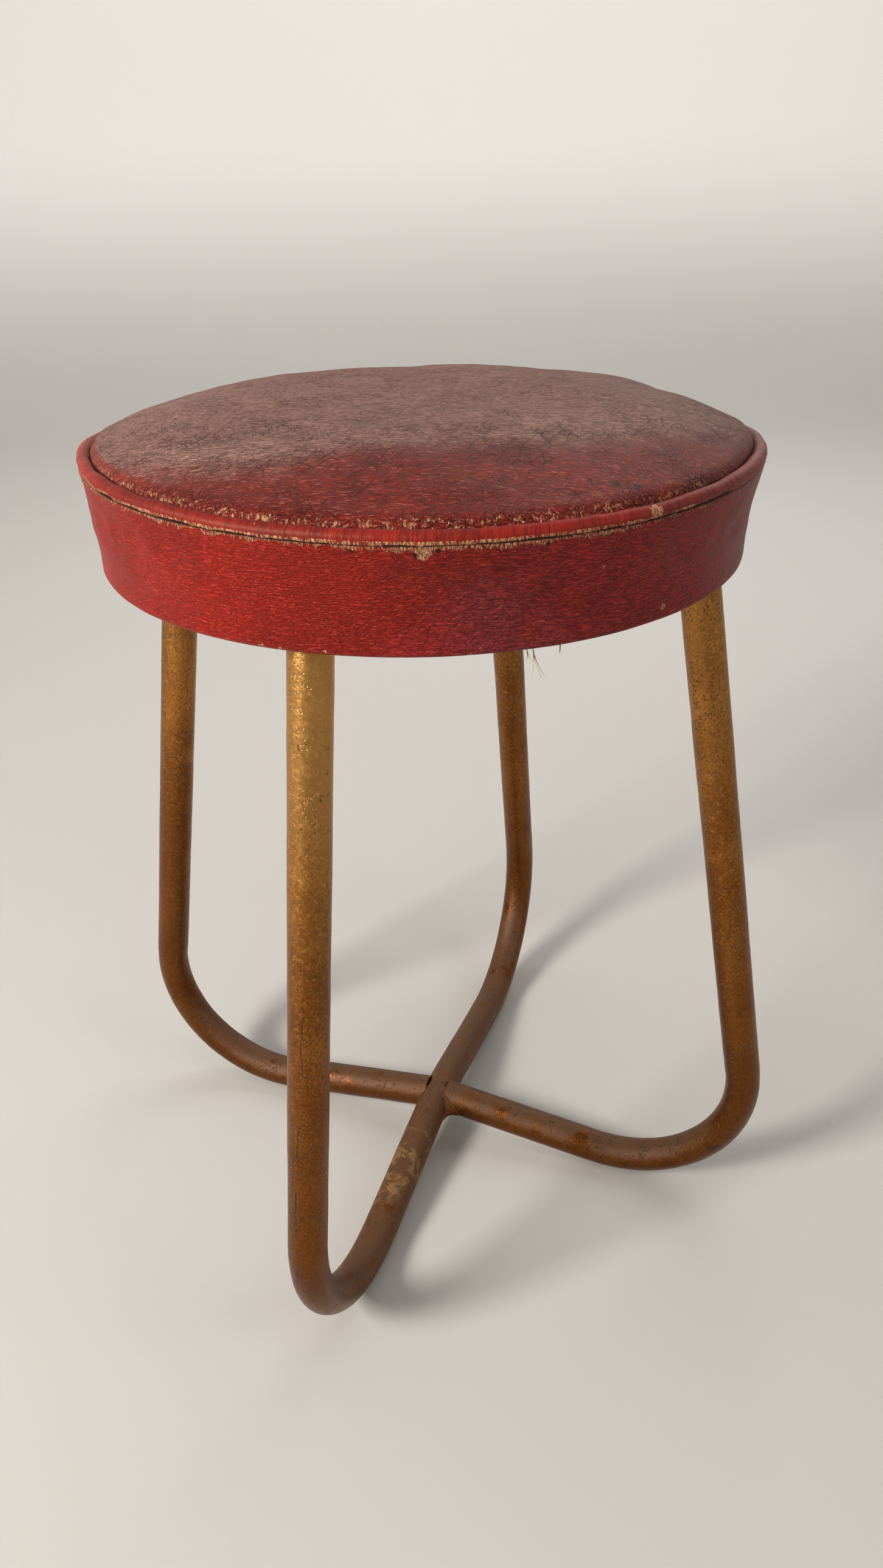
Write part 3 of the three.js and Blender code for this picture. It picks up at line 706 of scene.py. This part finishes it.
END_RADIUS, END_HEIGHT = leg_line(0.0)[-1, :2]
CROSSING_HEIGHT = END_HEIGHT + END_RADIUS * tan(RUN_RISE)


def run_line(end, stop):
    """The straight bottom tube from the end of a bend to a stop radius, both ends left out."""
    steps = np.linspace(0, 1, 26)[1:-1, None]
    target = np.array([stop, CROSSING_HEIGHT - stop * tan(RUN_RISE)])
    places = end[:2] + steps * (target - end[:2])
    return np.concatenate([places, np.repeat(end[None, 2:], 24, 0)], 1)


def in_space(line, heading, reverse=False):
    """(points, directions) of a flat line, set out from the axis along a heading."""
    x, y = heading
    points, directions = (np.stack([flat[:, 0] * x, flat[:, 0] * y, flat[:, 1]], 1)
                          for flat in (line[:, :2], line[:, 2:]))
    if reverse:
        return points[::-1], -directions[::-1]
    return points, directions


def hoop_line():
    """The whole front-to-back hoop, with one gentle bend where it crosses the middle."""
    half_bend = CROSSING_BEND_RADIUS * sin(RUN_RISE)
    parts = []
    for name in ("front", "back"):
        leg = leg_line(LEG_LEAN[name])
        line = np.concatenate([leg, run_line(leg[-1], half_bend)])
        parts.append(in_space(line, HEADING[name], reverse=name == "back"))
    angles = np.linspace(RUN_RISE, -RUN_RISE, 9)
    centre = CROSSING_HEIGHT - CROSSING_BEND_RADIUS / cos(RUN_RISE)
    points = np.stack([0 * angles, -np.sin(angles), np.cos(angles)], 1) * CROSSING_BEND_RADIUS
    directions = np.stack([0 * angles, np.cos(angles), np.sin(angles)], 1)
    parts.insert(1, (points + [0, 0, centre], directions))
    return [np.concatenate([part[k] for part in parts]) for k in (0, 1)]


def tube_mesh(name, points, directions, plane_normal, sides=48):
    """A hollow tube round a flat centre line, slightly flattened in its bends, with square ends."""
    normal = np.array(plane_normal, float)
    up = np.cross(normal, directions)
    up /= np.linalg.norm(up, axis=1)[:, None]
    lengths = np.concatenate([[0], np.cumsum(np.linalg.norm(np.diff(points, axis=0), axis=1))])
    turning = np.linalg.norm(np.gradient(directions, lengths, axis=0), axis=1) * BEND_RADIUS
    squash = 1 - 0.03 * smooth_step(turning, 0.2, 0.9)
    angles = ring_angles(sides)
    upward = np.sin(angles)[:, None] * (up * squash[:, None])[:, None]
    outward = np.cos(angles)[:, None] * normal + upward
    outer = points[:, None] + outward * TUBE_RADIUS
    dents = smooth_noise(outer, 34 * MM, 5) * 0.07 * MM + smooth_noise(outer, 9 * MM, 6) * 0.03 * MM
    outer = outer + outward * dents[..., None]
    outer[:, :, 2] = np.maximum(outer[:, :, 2], 0.0)
    inner = (points[:, None] + outward * (TUBE_RADIUS - TUBE_WALL))[::-1]
    for ring in (outer[0], outer[-1], inner[0], inner[-1]):
        ring[:, 2] = np.where(ring[:, 2] > LEG_TOP - 6 * MM, LEG_TOP, ring[:, 2])
    return grid_mesh(name, np.concatenate([outer, inner]), along=True)


def painted(mesh, node):
    finish_piece(mesh, GOLD, [node])


def weld_bead(node, rows):
    painted(grid_mesh(f"{node}_bead", rows, capped=BOTH_ENDS), node)


def build_hoops():
    points, directions = hoop_line()
    painted(tube_mesh("front_back_hoop_tube", points, directions, (1, 0, 0)), "front_back_hoop")
    for name in ("left", "right"):
        leg = leg_line(LEG_LEAN[name])
        stop = TUBE_RADIUS * 0.55
        last = np.array([[stop, CROSSING_HEIGHT - stop * tan(RUN_RISE), *leg[-1, 2:]]])
        line = np.concatenate([leg, run_line(leg[-1], stop), last])
        points, directions = in_space(line, HEADING[name])
        painted(tube_mesh(f"{name}_half_hoop_tube", points, directions, (0, 1, 0)), f"{name}_half_hoop")


def corner_weld(side_x, side_y, size):
    """A painted weld fillet in one corner where a half hoop is coped to the side of the hoop."""
    arc = np.linspace(0, pi / 2, 13)
    rows = []
    for angle in np.radians(np.linspace(-84, 84, 33)):
        leg = size * cos(angle) ** 0.6
        reach = TUBE_RADIUS * cos(angle)
        x = reach + leg * (1 - np.sin(arc))
        y = reach + leg * (1 - np.cos(arc))
        z = np.full_like(arc, TUBE_RADIUS * sin(angle))
        face = np.stack([x, y, z], 1)
        first, last = face[:1] - [0, 0.5 * MM, 0], face[-1:] - [0.5 * MM, 0, 0]
        root = np.array([[reach - 1.2 * MM, reach - 1.2 * MM, z[0] * 0.93]])
        rows.append(np.concatenate([first, face, last, root]))
    rows = np.array(rows)
    rows[..., :2] += smooth_noise(rows, 5 * MM, 11)[..., None] * 0.12 * MM
    drop = rows[..., 0] * tan(RUN_RISE)
    fall = rows[..., 1] ** 2 / (2 * CROSSING_BEND_RADIUS)
    rows[..., 2] += CROSSING_HEIGHT - drop - fall - HOOP_SAG
    return grid_mesh("corner", rows * [side_x, side_y, 1], capped=BOTH_ENDS)


def build_cross_welds():
    for name, side, front, back in (("left", -1, 2.6 * MM, 3 * MM), ("right", 1, 8 * MM, 4 * MM)):
        halves = [corner_weld(side, -1, front), corner_weld(side, 1, back)]
        painted(joined(f"{name}_cross_weld_bead", halves), f"{name}_cross_weld")


def build_leg_welds():
    """A rippled bead round the inner half of each leg's top, under the bar cross."""
    arc = np.linspace(0, 1, 9)
    for index, (name, (x, y)) in enumerate(HEADING.items()):
        leg_centre = leg_line(LEG_LEAN[name])[0, 0]
        rows = []
        for k, angle in enumerate(np.radians(np.linspace(-96, 96, 65))):
            ripple = 1 + 0.1 * sin(k * 1.25 + index) + 0.05 * sin(k * 0.4)
            fade = smooth_step(radians(96) - abs(angle), 0, radians(14)) * 0.75 + 0.25
            size = LEG_WELD * ripple * fade
            bulge = 0.22 * size * np.sin(arc * pi)
            radius = TUBE_RADIUS - 0.25 * MM + size * arc + bulge
            down = size * (1 - arc) + bulge
            inward = leg_centre + down * tan(LEG_LEAN[name]) - radius * cos(angle)
            section = np.stack([inward, radius * sin(angle), LEG_TOP - down], 1)
            core = (section[:1] + section[-1:]) / 2 + [cos(angle) * size * 0.6, -sin(angle) * size * 0.6, 0]
            core[0, 2] = LEG_TOP
            rows.append(np.concatenate([section, core]))
        out, sideways, height = np.moveaxis(np.array(rows), -1, 0)
        placed = np.stack([out * x - sideways * y, out * y + sideways * x, height], -1)
        weld_bead(f"{name}_leg_weld", placed)


def build_bars():
    """The flat bars keep their CAD shape, with their edges eased; their welds are made afresh."""
    for name in ("long_bar", "left_bar", "right_bar"):
        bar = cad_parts[name]
        bar.data.materials.clear()
        bar.data.materials.append(GOLD)
        ease = bar.modifiers.new("eased_edges", "BEVEL")
        ease.width = 0.5 * MM
        ease.segments = 2
        ease.limit_method = "ANGLE"
    share = np.linspace(-0.5, 0.5, 60)
    size = smooth_step(0.5 - np.abs(share), 0, 0.07) * 0.8 + 0.2
    size = (size * (1 + 0.14 * np.sin(np.arange(60) * 1.3)))[:, None]
    arc = np.linspace(0, pi, 11)
    for name in ("left", "right"):
        low, high = (np.array(corner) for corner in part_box(f"{name}_bar_weld"))
        middle, extent = (low + high) / 2, high - low
        x = middle[0] + extent[0] / 2 * size * np.cos(arc)
        y = middle[1] + extent[1] * share[:, None] + 0 * x
        rows = np.stack([x, y, high[2] - extent[2] * size * np.sin(arc)], -1)
        weld_bead(f"{name}_bar_weld", rows)


# ---- Fasteners ----

def screw_mesh():
    """A slotted round-head wood screw, point up, with its head's top face at height 0."""
    profile = rounded([(0, -2.6), (2.2, -2.5), (4.2, -1.0), (4.2, 0), (1.9, 0), (1.9, 3)], 0.6)
    for k in range(14):
        profile += [(1.25, 3 + 0.7 * k), (1.85 - 0.02 * k, 3.35 + 0.7 * k)]
    mesh = lathe("bar_screw", np.array(profile + [(1.1, 13.4), (0, 15.6)]) * MM, 32)

    def cut_slot(points):
        in_slot = (points[:, 2] < -1.4 * MM) & (np.abs(points[:, 1]) < 0.62 * MM)
        points[in_slot, 2] = -1.4 * MM
        return points
    reshape(mesh, cut_slot)
    return mesh


def tack_mesh():
    """An upholstery tack: a thin, slightly domed, hammered head and a square tapered shank."""
    profile = [(0, -1.5), (2.3, -1.25), (3.55, -0.35), (3.5, 0), (0.9, 0), (0.75, 4), (0, 8.9)]
    mesh = lathe("hem_tack", np.array(rounded(profile, 0.4)) * MM, 28)

    def hammer(points):
        points[:, 2] += smooth_noise(points, 2.2 * MM, 21) * 0.1 * MM * (points[:, 2] < 0)
        return points
    reshape(mesh, hammer)
    return mesh


def build_fasteners():
    draw = np.random.default_rng(3)
    for kind, pattern in (("screw", screw_mesh()), ("tack", tack_mesh())):
        for name in sorted(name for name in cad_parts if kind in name):
            low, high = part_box(name)
            mesh = pattern.copy()
            mesh.name = f"{name}_fine"
            piece = finish_piece(mesh, STEEL, [name])
            tilt = Matrix.Rotation(radians(draw.uniform(-2, 2)), 4, "X")
            spin = Matrix.Rotation(draw.uniform(0, TAU), 4, "Z")
            head_top = BAR_BOTTOM - 0.3 * MM if kind == "screw" else low[2] + 1.6 * MM
            middle = ((low[0] + high[0]) / 2, (low[1] + high[1]) / 2, head_top)
            piece.matrix_world = Matrix.Translation(middle) @ spin @ tilt


# ---- Seat ----

def cushion_mesh():
    """The stuffed seat before it is blown up: its crown, its side and a flat bottom."""
    angles = ring_angles(128)
    share = np.linspace(0.04, 1, 22)[:, None]
    top = turned(share * PANEL_EDGE, SEAM_HEIGHT, angles)
    top[..., 2] += crown_rise(top[..., 0], top[..., 1])
    side = np.array([(BOARD_RADIUS - 0.5 * MM, WELT_HEIGHT - 9 * MM),
                     (BOARD_RADIUS - 0.5 * MM, BOARD_HIGH[2]), (BOARD_RADIUS, BOARD_LOW[2]),
                     (BOARD_RADIUS * 0.5, BOARD_LOW[2])])
    rows = np.concatenate([top, turned(side[:, :1], side[:, 1:], angles)])
    return grid_mesh("cushion", rows, capped=BOTH_ENDS)


def blown_up_cushion():
    """A cloth simulation of the seat under the pressure of its stuffing. Returns how far it lifts
    the top, as a function of x and y."""
    cushion = bpy.data.objects.new("cushion_work", cushion_mesh())
    bpy.context.collection.objects.link(cushion)
    bpy.context.view_layer.objects.active = cushion
    cushion.select_set(True)
    remesh = cushion.modifiers.new("even", "REMESH")
    remesh.mode = "VOXEL"
    remesh.voxel_size = 5 * MM
    bpy.ops.object.modifier_apply(modifier=remesh.name)
    before = search_tree(cushion.data)
    simulate(cushion)
    after = search_tree(cushion.data)
    bpy.data.objects.remove(cushion)

    def lift(x, y):
        low, high = (np.array([tree.ray_cast(Vector((a, b, 1)), Vector((0, 0, -1)))[0].z
                               for a, b in zip(x, y)]) for tree in (before, after))
        return high - low
    return lift


def search_tree(mesh):
    work = bmesh.new()
    work.from_mesh(mesh)
    tree = BVHTree.FromBMesh(work)
    work.free()
    return tree


def simulate(cushion):
    """Twenty frames of cloth under pressure, with no point moved more than the cap."""
    before = points_of(cushion.data)
    held = cushion.vertex_groups.new(name="held")
    radius = np.hypot(before[:, 0], before[:, 1])
    at_welt = (radius > PANEL_EDGE - 2.5 * MM) & (np.abs(before[:, 2] - WELT_HEIGHT) < 4.5 * MM)
    on_board = before[:, 2] < BOARD_HIGH[2] + 1 * MM
    held.add(np.nonzero(at_welt | on_board)[0].tolist(), 1.0, "ADD")
    cloth = cushion.modifiers.new("stuffing", "CLOTH")
    cloth.collision_settings.use_collision = False
    cloth.settings.effector_weights.gravity = 0
    for name, value in {"quality": 8, "mass": 0.35, "tension_stiffness": 25,
                        "compression_stiffness": 25, "shear_stiffness": 10,
                        "bending_stiffness": 0.6, "use_pressure": True,
                        "uniform_pressure_force": 4, "vertex_group_mass": held.name}.items():
        setattr(cloth.settings, name, value)
    scene = bpy.context.scene
    for step in range(1, SIMULATED_FRAMES + 1):
        scene.frame_set(step)
    move = points_of(cushion.evaluated_get(bpy.context.evaluated_depsgraph_get()).data) - before
    scene.frame_set(1)
    cushion.modifiers.remove(cloth)
    length = np.linalg.norm(move, axis=1)[:, None]
    move *= np.minimum(1, MOST_MOVE / np.maximum(length, 1e-9))
    reshape(cushion.data, lambda points: points + move)
    cushion.data.update()


def build_top_panel(lift):
    """The top panel of the cover, blown up by the simulation, tucked in at its seam."""
    angles = ring_angles(320)
    inner = np.linspace(0.012, 0.88, 60)
    outer = 1 - 0.12 * (1 - np.linspace(0, 1, 33)[1:]) ** 1.4
    share = np.concatenate([inner, outer])[:, None]
    points = turned(share * PANEL_EDGE, SEAM_HEIGHT, angles)
    x, y = points[..., 0], points[..., 1]
    coarse = [lift(x[row, ::5] * 0.985, y[row, ::5] * 0.985) for row in range(0, len(share), 2)]
    around = np.append(angles[::5], TAU)
    coarse = np.array([np.interp(angles, around, np.append(row, row[0])) for row in coarse])
    lifted = np.stack([np.interp(share[:, 0], share[::2, 0], column) for column in coarse.T], 1)
    for _ in range(8):
        lifted = (np.roll(lifted, 2, 1) + np.roll(lifted, -2, 1) + 2 * lifted) / 4
    height = crown_rise(x, y) + TIRED_STUFFING * lifted * smooth_step(1 - share, 0, 0.06)
    lumps = smooth_noise(points, 55 * MM, 31) * 0.5 * MM + smooth_noise(points, 17 * MM, 32) * 0.14 * MM
    height += lumps * smooth_step(1 - share, 0.01, 0.1)
    pulls = np.sin(angles * 37 + 2 * np.sin(angles * 5)) * 0.5 + smooth_noise(points, 12 * MM, 33) * 0.5
    near_seam = np.exp(-((1 - share) / 0.04) ** 2) * smooth_step(1 - share, 0, 0.012)
    height += pulls * near_seam * 0.28 * MM
    overhang = 1.6 * MM * np.sin(pi * np.clip((share - 0.93) / 0.07, 0, 1))
    points += turned(overhang, 0, angles)
    points[..., 2] = SEAM_HEIGHT + height
    points = settle(points)
    from_edge = (1 - share[:, 0]) * PANEL_EDGE
    uv = grid_uv(from_edge, np.arange(len(angles) + 1) * TAU / len(angles) * PANEL_EDGE)
    mesh = grid_mesh("top_panel", points, uv, capped=(0,))
    piece = finish_piece(mesh, TOP, ["seat_top_cover"], 80)
    thicken(piece, CLOTH)
    return points


def thicken(piece, thickness, offset=-1):
    shell = piece.modifiers.new("cloth_thickness", "SOLIDIFY")
    shell.thickness = thickness
    shell.offset = offset
    shell.use_even_offset = True


def band_profile():
    """(radii, heights, rows of the wall): over the piping's seam, down the wall, round the hem's
    fold and in under the board."""
    over, fold = np.linspace(0, pi / 2, 9)[:-1], np.linspace(0, pi / 2, 7)[1:]
    wall = np.linspace(WELT_HEIGHT - 2.8 * MM, BAND_BOTTOM + HEM_FOLD, 36)
    under = np.linspace(0, 1, 14)[1:]
    radii = [WELT_RADIUS + 1.1 * MM + 2 * MM * np.sin(over), band_reach(wall),
             BAND_RADIUS - HEM_FOLD * (1 - np.cos(fold)),
             BAND_RADIUS - HEM_FOLD - (HEM_WIDTH - 4 * MM) * under]
    heights = [WELT_HEIGHT + 0.8 * MM - 3.6 * MM * (1 - np.cos(over)), wall,
               BAND_BOTTOM + HEM_FOLD * (1 - np.sin(fold)), BAND_BOTTOM + 0 * under]
    wall_rows = len(over) + len(wall) + len(fold)
    return np.concatenate(radii)[:, None], np.concatenate(heights)[:, None], wall_rows


def build_side_band():
    """The band: tight over the board, pulled in above it, out again to the seam; its hem is pleated
    and turned in under the board."""
    count = 480
    angles = ring_angles(count)
    radii, heights, wall_rows = band_profile()
    points = turned(radii, heights, angles)
    outward = turned(1.0, 0.0, angles)
    soft = smooth_step(heights, BOARD_HIGH[2] - 2 * MM, BOARD_HIGH[2] + 9 * MM)
    soft = soft * smooth_step(WELT_HEIGHT - WELT_TUBE - heights, 0, 12 * MM)
    upright = points * [1, 1, 2.4]
    slack = 0.35 + 0.65 * smooth_step(smooth_noise(points * [1, 1, 0], 110 * MM, 41), -0.2, 1.0)
    folds = smooth_noise(upright, 42 * MM, 42) * 1 * MM + smooth_noise(upright, 13 * MM, 43) * 0.28 * MM
    creases = -np.abs(smooth_noise(points * [1, 1, 1.5], 20 * MM, 44)) * 0.35 * MM
    points += outward * ((folds * slack + creases) * soft)[..., None]
    on_wall = (np.arange(len(heights)) < wall_rows)[:, None]
    points += outward * (smooth_noise(points, 24 * MM, 45) * 0.12 * MM * on_wall)[..., None]
    inward = np.clip((BAND_RADIUS - 3 * MM - radii) / HEM_WIDTH, 0, 1) * ~on_wall
    pleats = np.abs(np.sin(angles * 62 + 1.5 * np.sin(angles * 9))) ** 3
    points[..., 2] -= inward * pleats * 0.5 * MM
    hem = points[wall_rows - 1:, :, 2]
    hem[:] = np.maximum(hem, BAND_BOTTOM - 0.6 * MM)
    points[-1] -= outward * (smooth_noise(points[-1], 9 * MM, 46) * 1.2 * MM)[:, None]
    points = settle(points)
    steps = np.linalg.norm(np.diff(points[:, 0], axis=0), axis=1)
    down = np.concatenate([[0], np.cumsum(steps)]) - 3 * MM
    uv = grid_uv(down, np.arange(count + 1) * TAU / count * BAND_RADIUS)
    mesh = grid_mesh("side_band_cloth", points, uv)
    piece = finish_piece(mesh, BAND, ["side_band"], 80)
    thicken(piece, CLOTH * 0.8)


def build_welt():
    """The piping: a tube bent into a ring, with a little waver and fine ridges across it."""
    count, sides = 600, 24
    angles, around = ring_angles(count)[:, None], ring_angles(sides)
    centre = turned(WELT_RADIUS, WELT_HEIGHT, angles)
    waver, swell, lift = (smooth_noise(centre, size * MM, seed)
                          for size, seed in ((60, 51), (14, 52), (45, 53)))
    thick = WELT_TUBE * (1 + 0.05 * swell)
    rows = settle(turned(WELT_RADIUS + 0.25 * MM * waver + thick * np.cos(around),
                         WELT_HEIGHT + 0.25 * MM * lift + thick * np.sin(around), angles))
    outward = (rows - rows.mean(1, keepdims=True)) / WELT_TUBE
    rows = rows + outward * smooth_noise(rows * [1, 1, 0.3], 2.6 * MM, 54)[..., None] * 0.07 * MM
    around = np.arange(sides + 1) * TAU / sides
    along = np.arange(count + 1) * TAU / count * WELT_RADIUS
    to_panel = np.abs(around - radians(140)) * WELT_TUBE + 0.9 * MM
    to_band = np.abs(around - radians(336)) * WELT_TUBE
    uv = np.stack(np.meshgrid(along, np.minimum(to_panel, to_band), indexing="ij"), -1)
    mesh = grid_mesh("welt_piping", rows, uv, along=True)
    finish_piece(mesh, WELT, ["welt_cover"], 80)


def build_cord():
    """The cord inside the piping: three strands laid together."""
    angles = ring_angles(900)[:, None]
    section = ring_angles(8)
    strands = []
    for strand in range(3):
        turn = angles * 90 + strand * TAU / 3
        radius = WELT_RADIUS + 1 * MM * np.cos(turn) + 0.95 * MM * np.cos(section)
        height = WELT_HEIGHT + 1 * MM * np.sin(turn) + 0.95 * MM * np.sin(section)
        strands.append(grid_mesh("strand", settle(turned(radius, height, angles)), along=True))
    finish_piece(joined("piping_cord_strands", strands), CORD, ["welt_cord"])


def hair(start, direction, length, thickness, bend, rng):
    """One short thread as a thin tapered tube of three sides."""
    direction = direction / np.linalg.norm(direction)
    side = np.cross(direction, [0.3, 0.2, 0.9])
    side /= np.linalg.norm(side)
    other = np.cross(direction, side)
    curl = side * rng.normal() * bend + other * rng.normal() * bend
    rows = []
    for t in np.linspace(0, 1, 5):
        centre = start + direction * length * t + curl * length * t * t
        size = thickness * (1 - 0.7 * t)
        rows.append([centre + size * (cos(angle) * side + sin(angle) * other)
                     for angle in (0, TAU / 3, 2 * TAU / 3)])
    return grid_mesh("thread", rows, capped=BOTH_ENDS)


def build_seam_threads(panel):
    """Short bare threads that stand out along the rubbed seams, thickest round the front."""
    rng = np.random.default_rng(61)
    strands = []
    while len(strands) < 520:
        angle = rng.uniform(0, TAU)
        at_front = 0.5 - 0.5 * sin(angle)
        if rng.uniform() > 0.25 + 0.75 * at_front:
            continue
        outward = turned(1.0, 0.0, angle)
        along = np.array([-sin(angle), cos(angle), 0.0])
        if rng.uniform() < 0.45:
            column = int(angle / TAU * panel.shape[1]) % panel.shape[1]
            start = panel[-5 - int(rng.uniform(0, 3)), column]
            direction = -outward * 0.8 + [0, 0, 0.25]
        else:
            start = settle(turned(WELT_RADIUS + 2.8 * MM, WELT_HEIGHT - 2 * MM, angle))
            direction = outward * 0.55 + [0, 0, -0.8]
        direction = direction + along * rng.normal() * 0.5
        strands.append(hair(start, direction, rng.uniform(0.9, 2.4) * MM, 0.09 * MM, 0.5, rng))
    finish_piece(joined("seam_threads", strands), FIBRE)


def build_hanging_threads():
    """Three brown jute ends that hang from the hem near the front."""
    rng = np.random.default_rng(71)
    strands = []
    for degrees, inset, length in ((-53.5, 4, 14), (-54.3, 5, 6), (-49, 4, 5)):
        start = turned(BAND_RADIUS - inset * MM, BAND_BOTTOM, radians(degrees))
        for _ in range(3):
            lean = np.array([0.12, 0.06, -1]) + rng.normal(size=3) * 0.06
            top = start + rng.normal(size=3) * 0.15 * MM
            strands.append(hair(top, lean, length * MM, 0.24 * MM, 0.16, rng))
    finish_piece(joined("hanging_threads", strands), FIBRE)


def disc_profile(name, edge):
    """The outline of a flat disc that fills a CAD node's box, with its edges eased."""
    low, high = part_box(name)
    return rounded([(0, low[2]), (high[0], low[2]), (high[0], high[2]), (0, high[2])], edge)


def build_padding():
    """The pads inside the cover, hidden unless it is taken off."""
    outline = disc_profile("coir_pad", 3 * MM)
    shares = np.linspace(0, 1, 14)[1:]
    divided = [(1 - share) * a + share * b for a, b in zip(outline, outline[1:]) for share in shares]
    coir = lathe("coir_pad_fibres", outline[:1] + divided, 180)
    roughen(coir, 4 * MM, 0.5 * MM, 81)
    reshape(coir, settle)
    finish_piece(coir, COIR, ["coir_pad"], 80)
    low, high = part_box("cotton_pad")
    edge = high[0] - 1.5 * MM
    top = [(edge * u, high[2] - 4 * MM - (high[2] - low[2] - 9 * MM) * u ** 4)
           for u in np.linspace(1, 0, 40)]
    cotton = lathe("cotton_pad_felt", [(0, low[2]), (edge * 0.5, low[2]), (edge, low[2])] + top, 144)
    roughen(cotton, 9 * MM, 0.35 * MM, 82)
    reshape(cotton, under_the_panel)
    finish_piece(cotton, COTTON, ["cotton_pad"], 80)


def under_the_panel(points):
    """The points of the cotton pad, kept below the panel and sunk with the seat."""
    panel = SEAM_HEIGHT + crown_rise(points[:, 0], points[:, 1]) - 3 * MM
    points[:, 2] = np.minimum(points[:, 2], panel)
    return settle(points)


def roughen(mesh, size, amount, seed):
    """Press a mesh in unevenly, along its normals."""
    normals = np.array([vertex.normal for vertex in mesh.vertices])
    pressed = np.abs(smooth_noise(points_of(mesh), size, seed))[:, None] * amount
    reshape(mesh, lambda points: points - normals * pressed)


def build_board():
    board = lathe("plywood_board", disc_profile("seat_board", 1 * MM), 192)
    finish_piece(board, PLYWOOD, ["seat_board"])


def build_dust_cover():
    """Hessian stretched over the underside and tacked through the hem, sagging between tacks."""
    low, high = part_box("dust_cover")
    radius = high[0]
    angles = ring_angles(240)
    share = np.linspace(0.02, 1, 60)[:, None]
    points = turned(share * radius, (low[2] + high[2]) / 2, angles)
    scallop = (0.5 - 0.5 * np.cos(angles * 16)) * 0.9 * MM
    outward = turned(1.0, 0.0, angles)
    points -= outward * (scallop * share ** 8)[..., None]
    points[-1] += outward * (smooth_noise(points[-1], 3 * MM, 91) * 0.5 * MM)[:, None]
    points[..., 2] += smooth_noise(points, 40 * MM, 92) * 0.05 * MM
    mesh = grid_mesh("dust_cover_hessian", points, capped=(0,))
    piece = finish_piece(mesh, HESSIAN, ["dust_cover"])
    thicken(piece, 0.5 * MM, offset=0)


# ---- Stage ----

def build_stage():
    """A pale bowl: a flat floor that curves up into a plain wall all round."""
    pale = Look("pale_floor", Roughness=0.8)
    pale.base(pale.place.axis(2).step(0.0, 0.6), (0.5, 0.485, 0.465), (0.88, 0.87, 0.85))
    floor, curve, wall = 2.2, 0.9, 3.2
    angle = np.linspace(0, pi / 2, 12)
    radii = np.concatenate([[0.5], floor + curve * np.sin(angle), [floor + curve]])[:, None]
    heights = np.concatenate([[0], curve * (1 - np.cos(angle)), [wall]])[:, None]
    mesh = grid_mesh("studio_floor", turned(radii, heights, ring_angles(96)), capped=(0,))
    mesh.shade_smooth()
    mesh.materials.append(pale.finish())
    stage = bpy.data.objects.new("studio_floor", mesh)
    stage.location.z = -0.02 * MM
    bpy.context.collection.objects.link(stage)


def build_camera():
    """The camera stands a little right of the front leg and looks down on the stool."""
    data = bpy.data.cameras.new("camera")
    data.sensor_fit = "VERTICAL"
    data.angle_y = CAMERA_VIEW_ANGLE
    camera = bpy.data.objects.new("camera", data)
    bpy.context.collection.objects.link(camera)
    back = Vector((sin(CAMERA_AZIMUTH) * cos(CAMERA_ELEVATION),
                   -cos(CAMERA_AZIMUTH) * cos(CAMERA_ELEVATION),
                   sin(CAMERA_ELEVATION)))
    right = Vector((cos(CAMERA_AZIMUTH), sin(CAMERA_AZIMUTH), 0))
    up = back.cross(right)
    turn = Matrix((right, up, back)).transposed() @ Matrix.Rotation(-CAMERA_ROLL, 3, "Z")
    aim = Vector((0, 0, AIM_HEIGHT)) + right * AIM_RIGHT
    camera.matrix_world = Matrix.Translation(aim + back * CAMERA_DISTANCE) @ turn.to_4x4()
    bpy.context.scene.camera = camera


def area_light(name, azimuth, elevation, distance, size, power, colour, aim=(0, 0, 0.25)):
    """A soft square light at an azimuth round the stool, counted from the camera's."""
    data = bpy.data.lights.new(name, "AREA")
    data.size = size
    data.energy = power
    data.color = colour
    light = bpy.data.objects.new(name, data)
    bpy.context.collection.objects.link(light)
    turn = CAMERA_AZIMUTH + radians(azimuth)
    rise = radians(elevation)
    aim = Vector(aim)
    away = Vector((sin(turn) * cos(rise), -cos(turn) * cos(rise), sin(rise)))
    light.location = aim + away * distance
    light.rotation_euler = away.to_track_quat("Z", "Y").to_euler()


def build_lights():
    area_light("key_light", -54, 30, 1.7, 0.45, 38, (1.0, 0.95, 0.88))
    area_light("fill_light", 60, 30, 1.9, 0.9, 6, (0.98, 0.97, 0.95))
    area_light("top_light", -10, 82, 1.9, 1.4, 6, (1.0, 0.98, 0.96))
    area_light("back_light", 150, 40, 2.0, 1.2, 8, (0.98, 0.98, 0.97))
    area_light("wall_light", 0, 38, 2.6, 1.4, 24, (1.0, 0.98, 0.95), (-1.1, 2.9, 0.3))
    world = bpy.data.worlds.new("studio")
    world.use_nodes = True
    background = world.node_tree.nodes["Background"]
    background.inputs["Color"].default_value = (0.94, 0.93, 0.91, 1)
    background.inputs["Strength"].default_value = 0.13
    bpy.context.scene.world = world
    bpy.context.scene.view_settings.view_transform = "Standard"


build_camera()
build_hoops()
build_cross_welds()
build_leg_welds()
build_bars()
build_fasteners()
panel_points = build_top_panel(blown_up_cushion())
build_side_band()
build_welt()
build_cord()
build_seam_threads(panel_points)
build_hanging_threads()
build_padding()
build_board()
build_dust_cover()
build_stage()
build_lights()
bpy.context.view_layer.update()
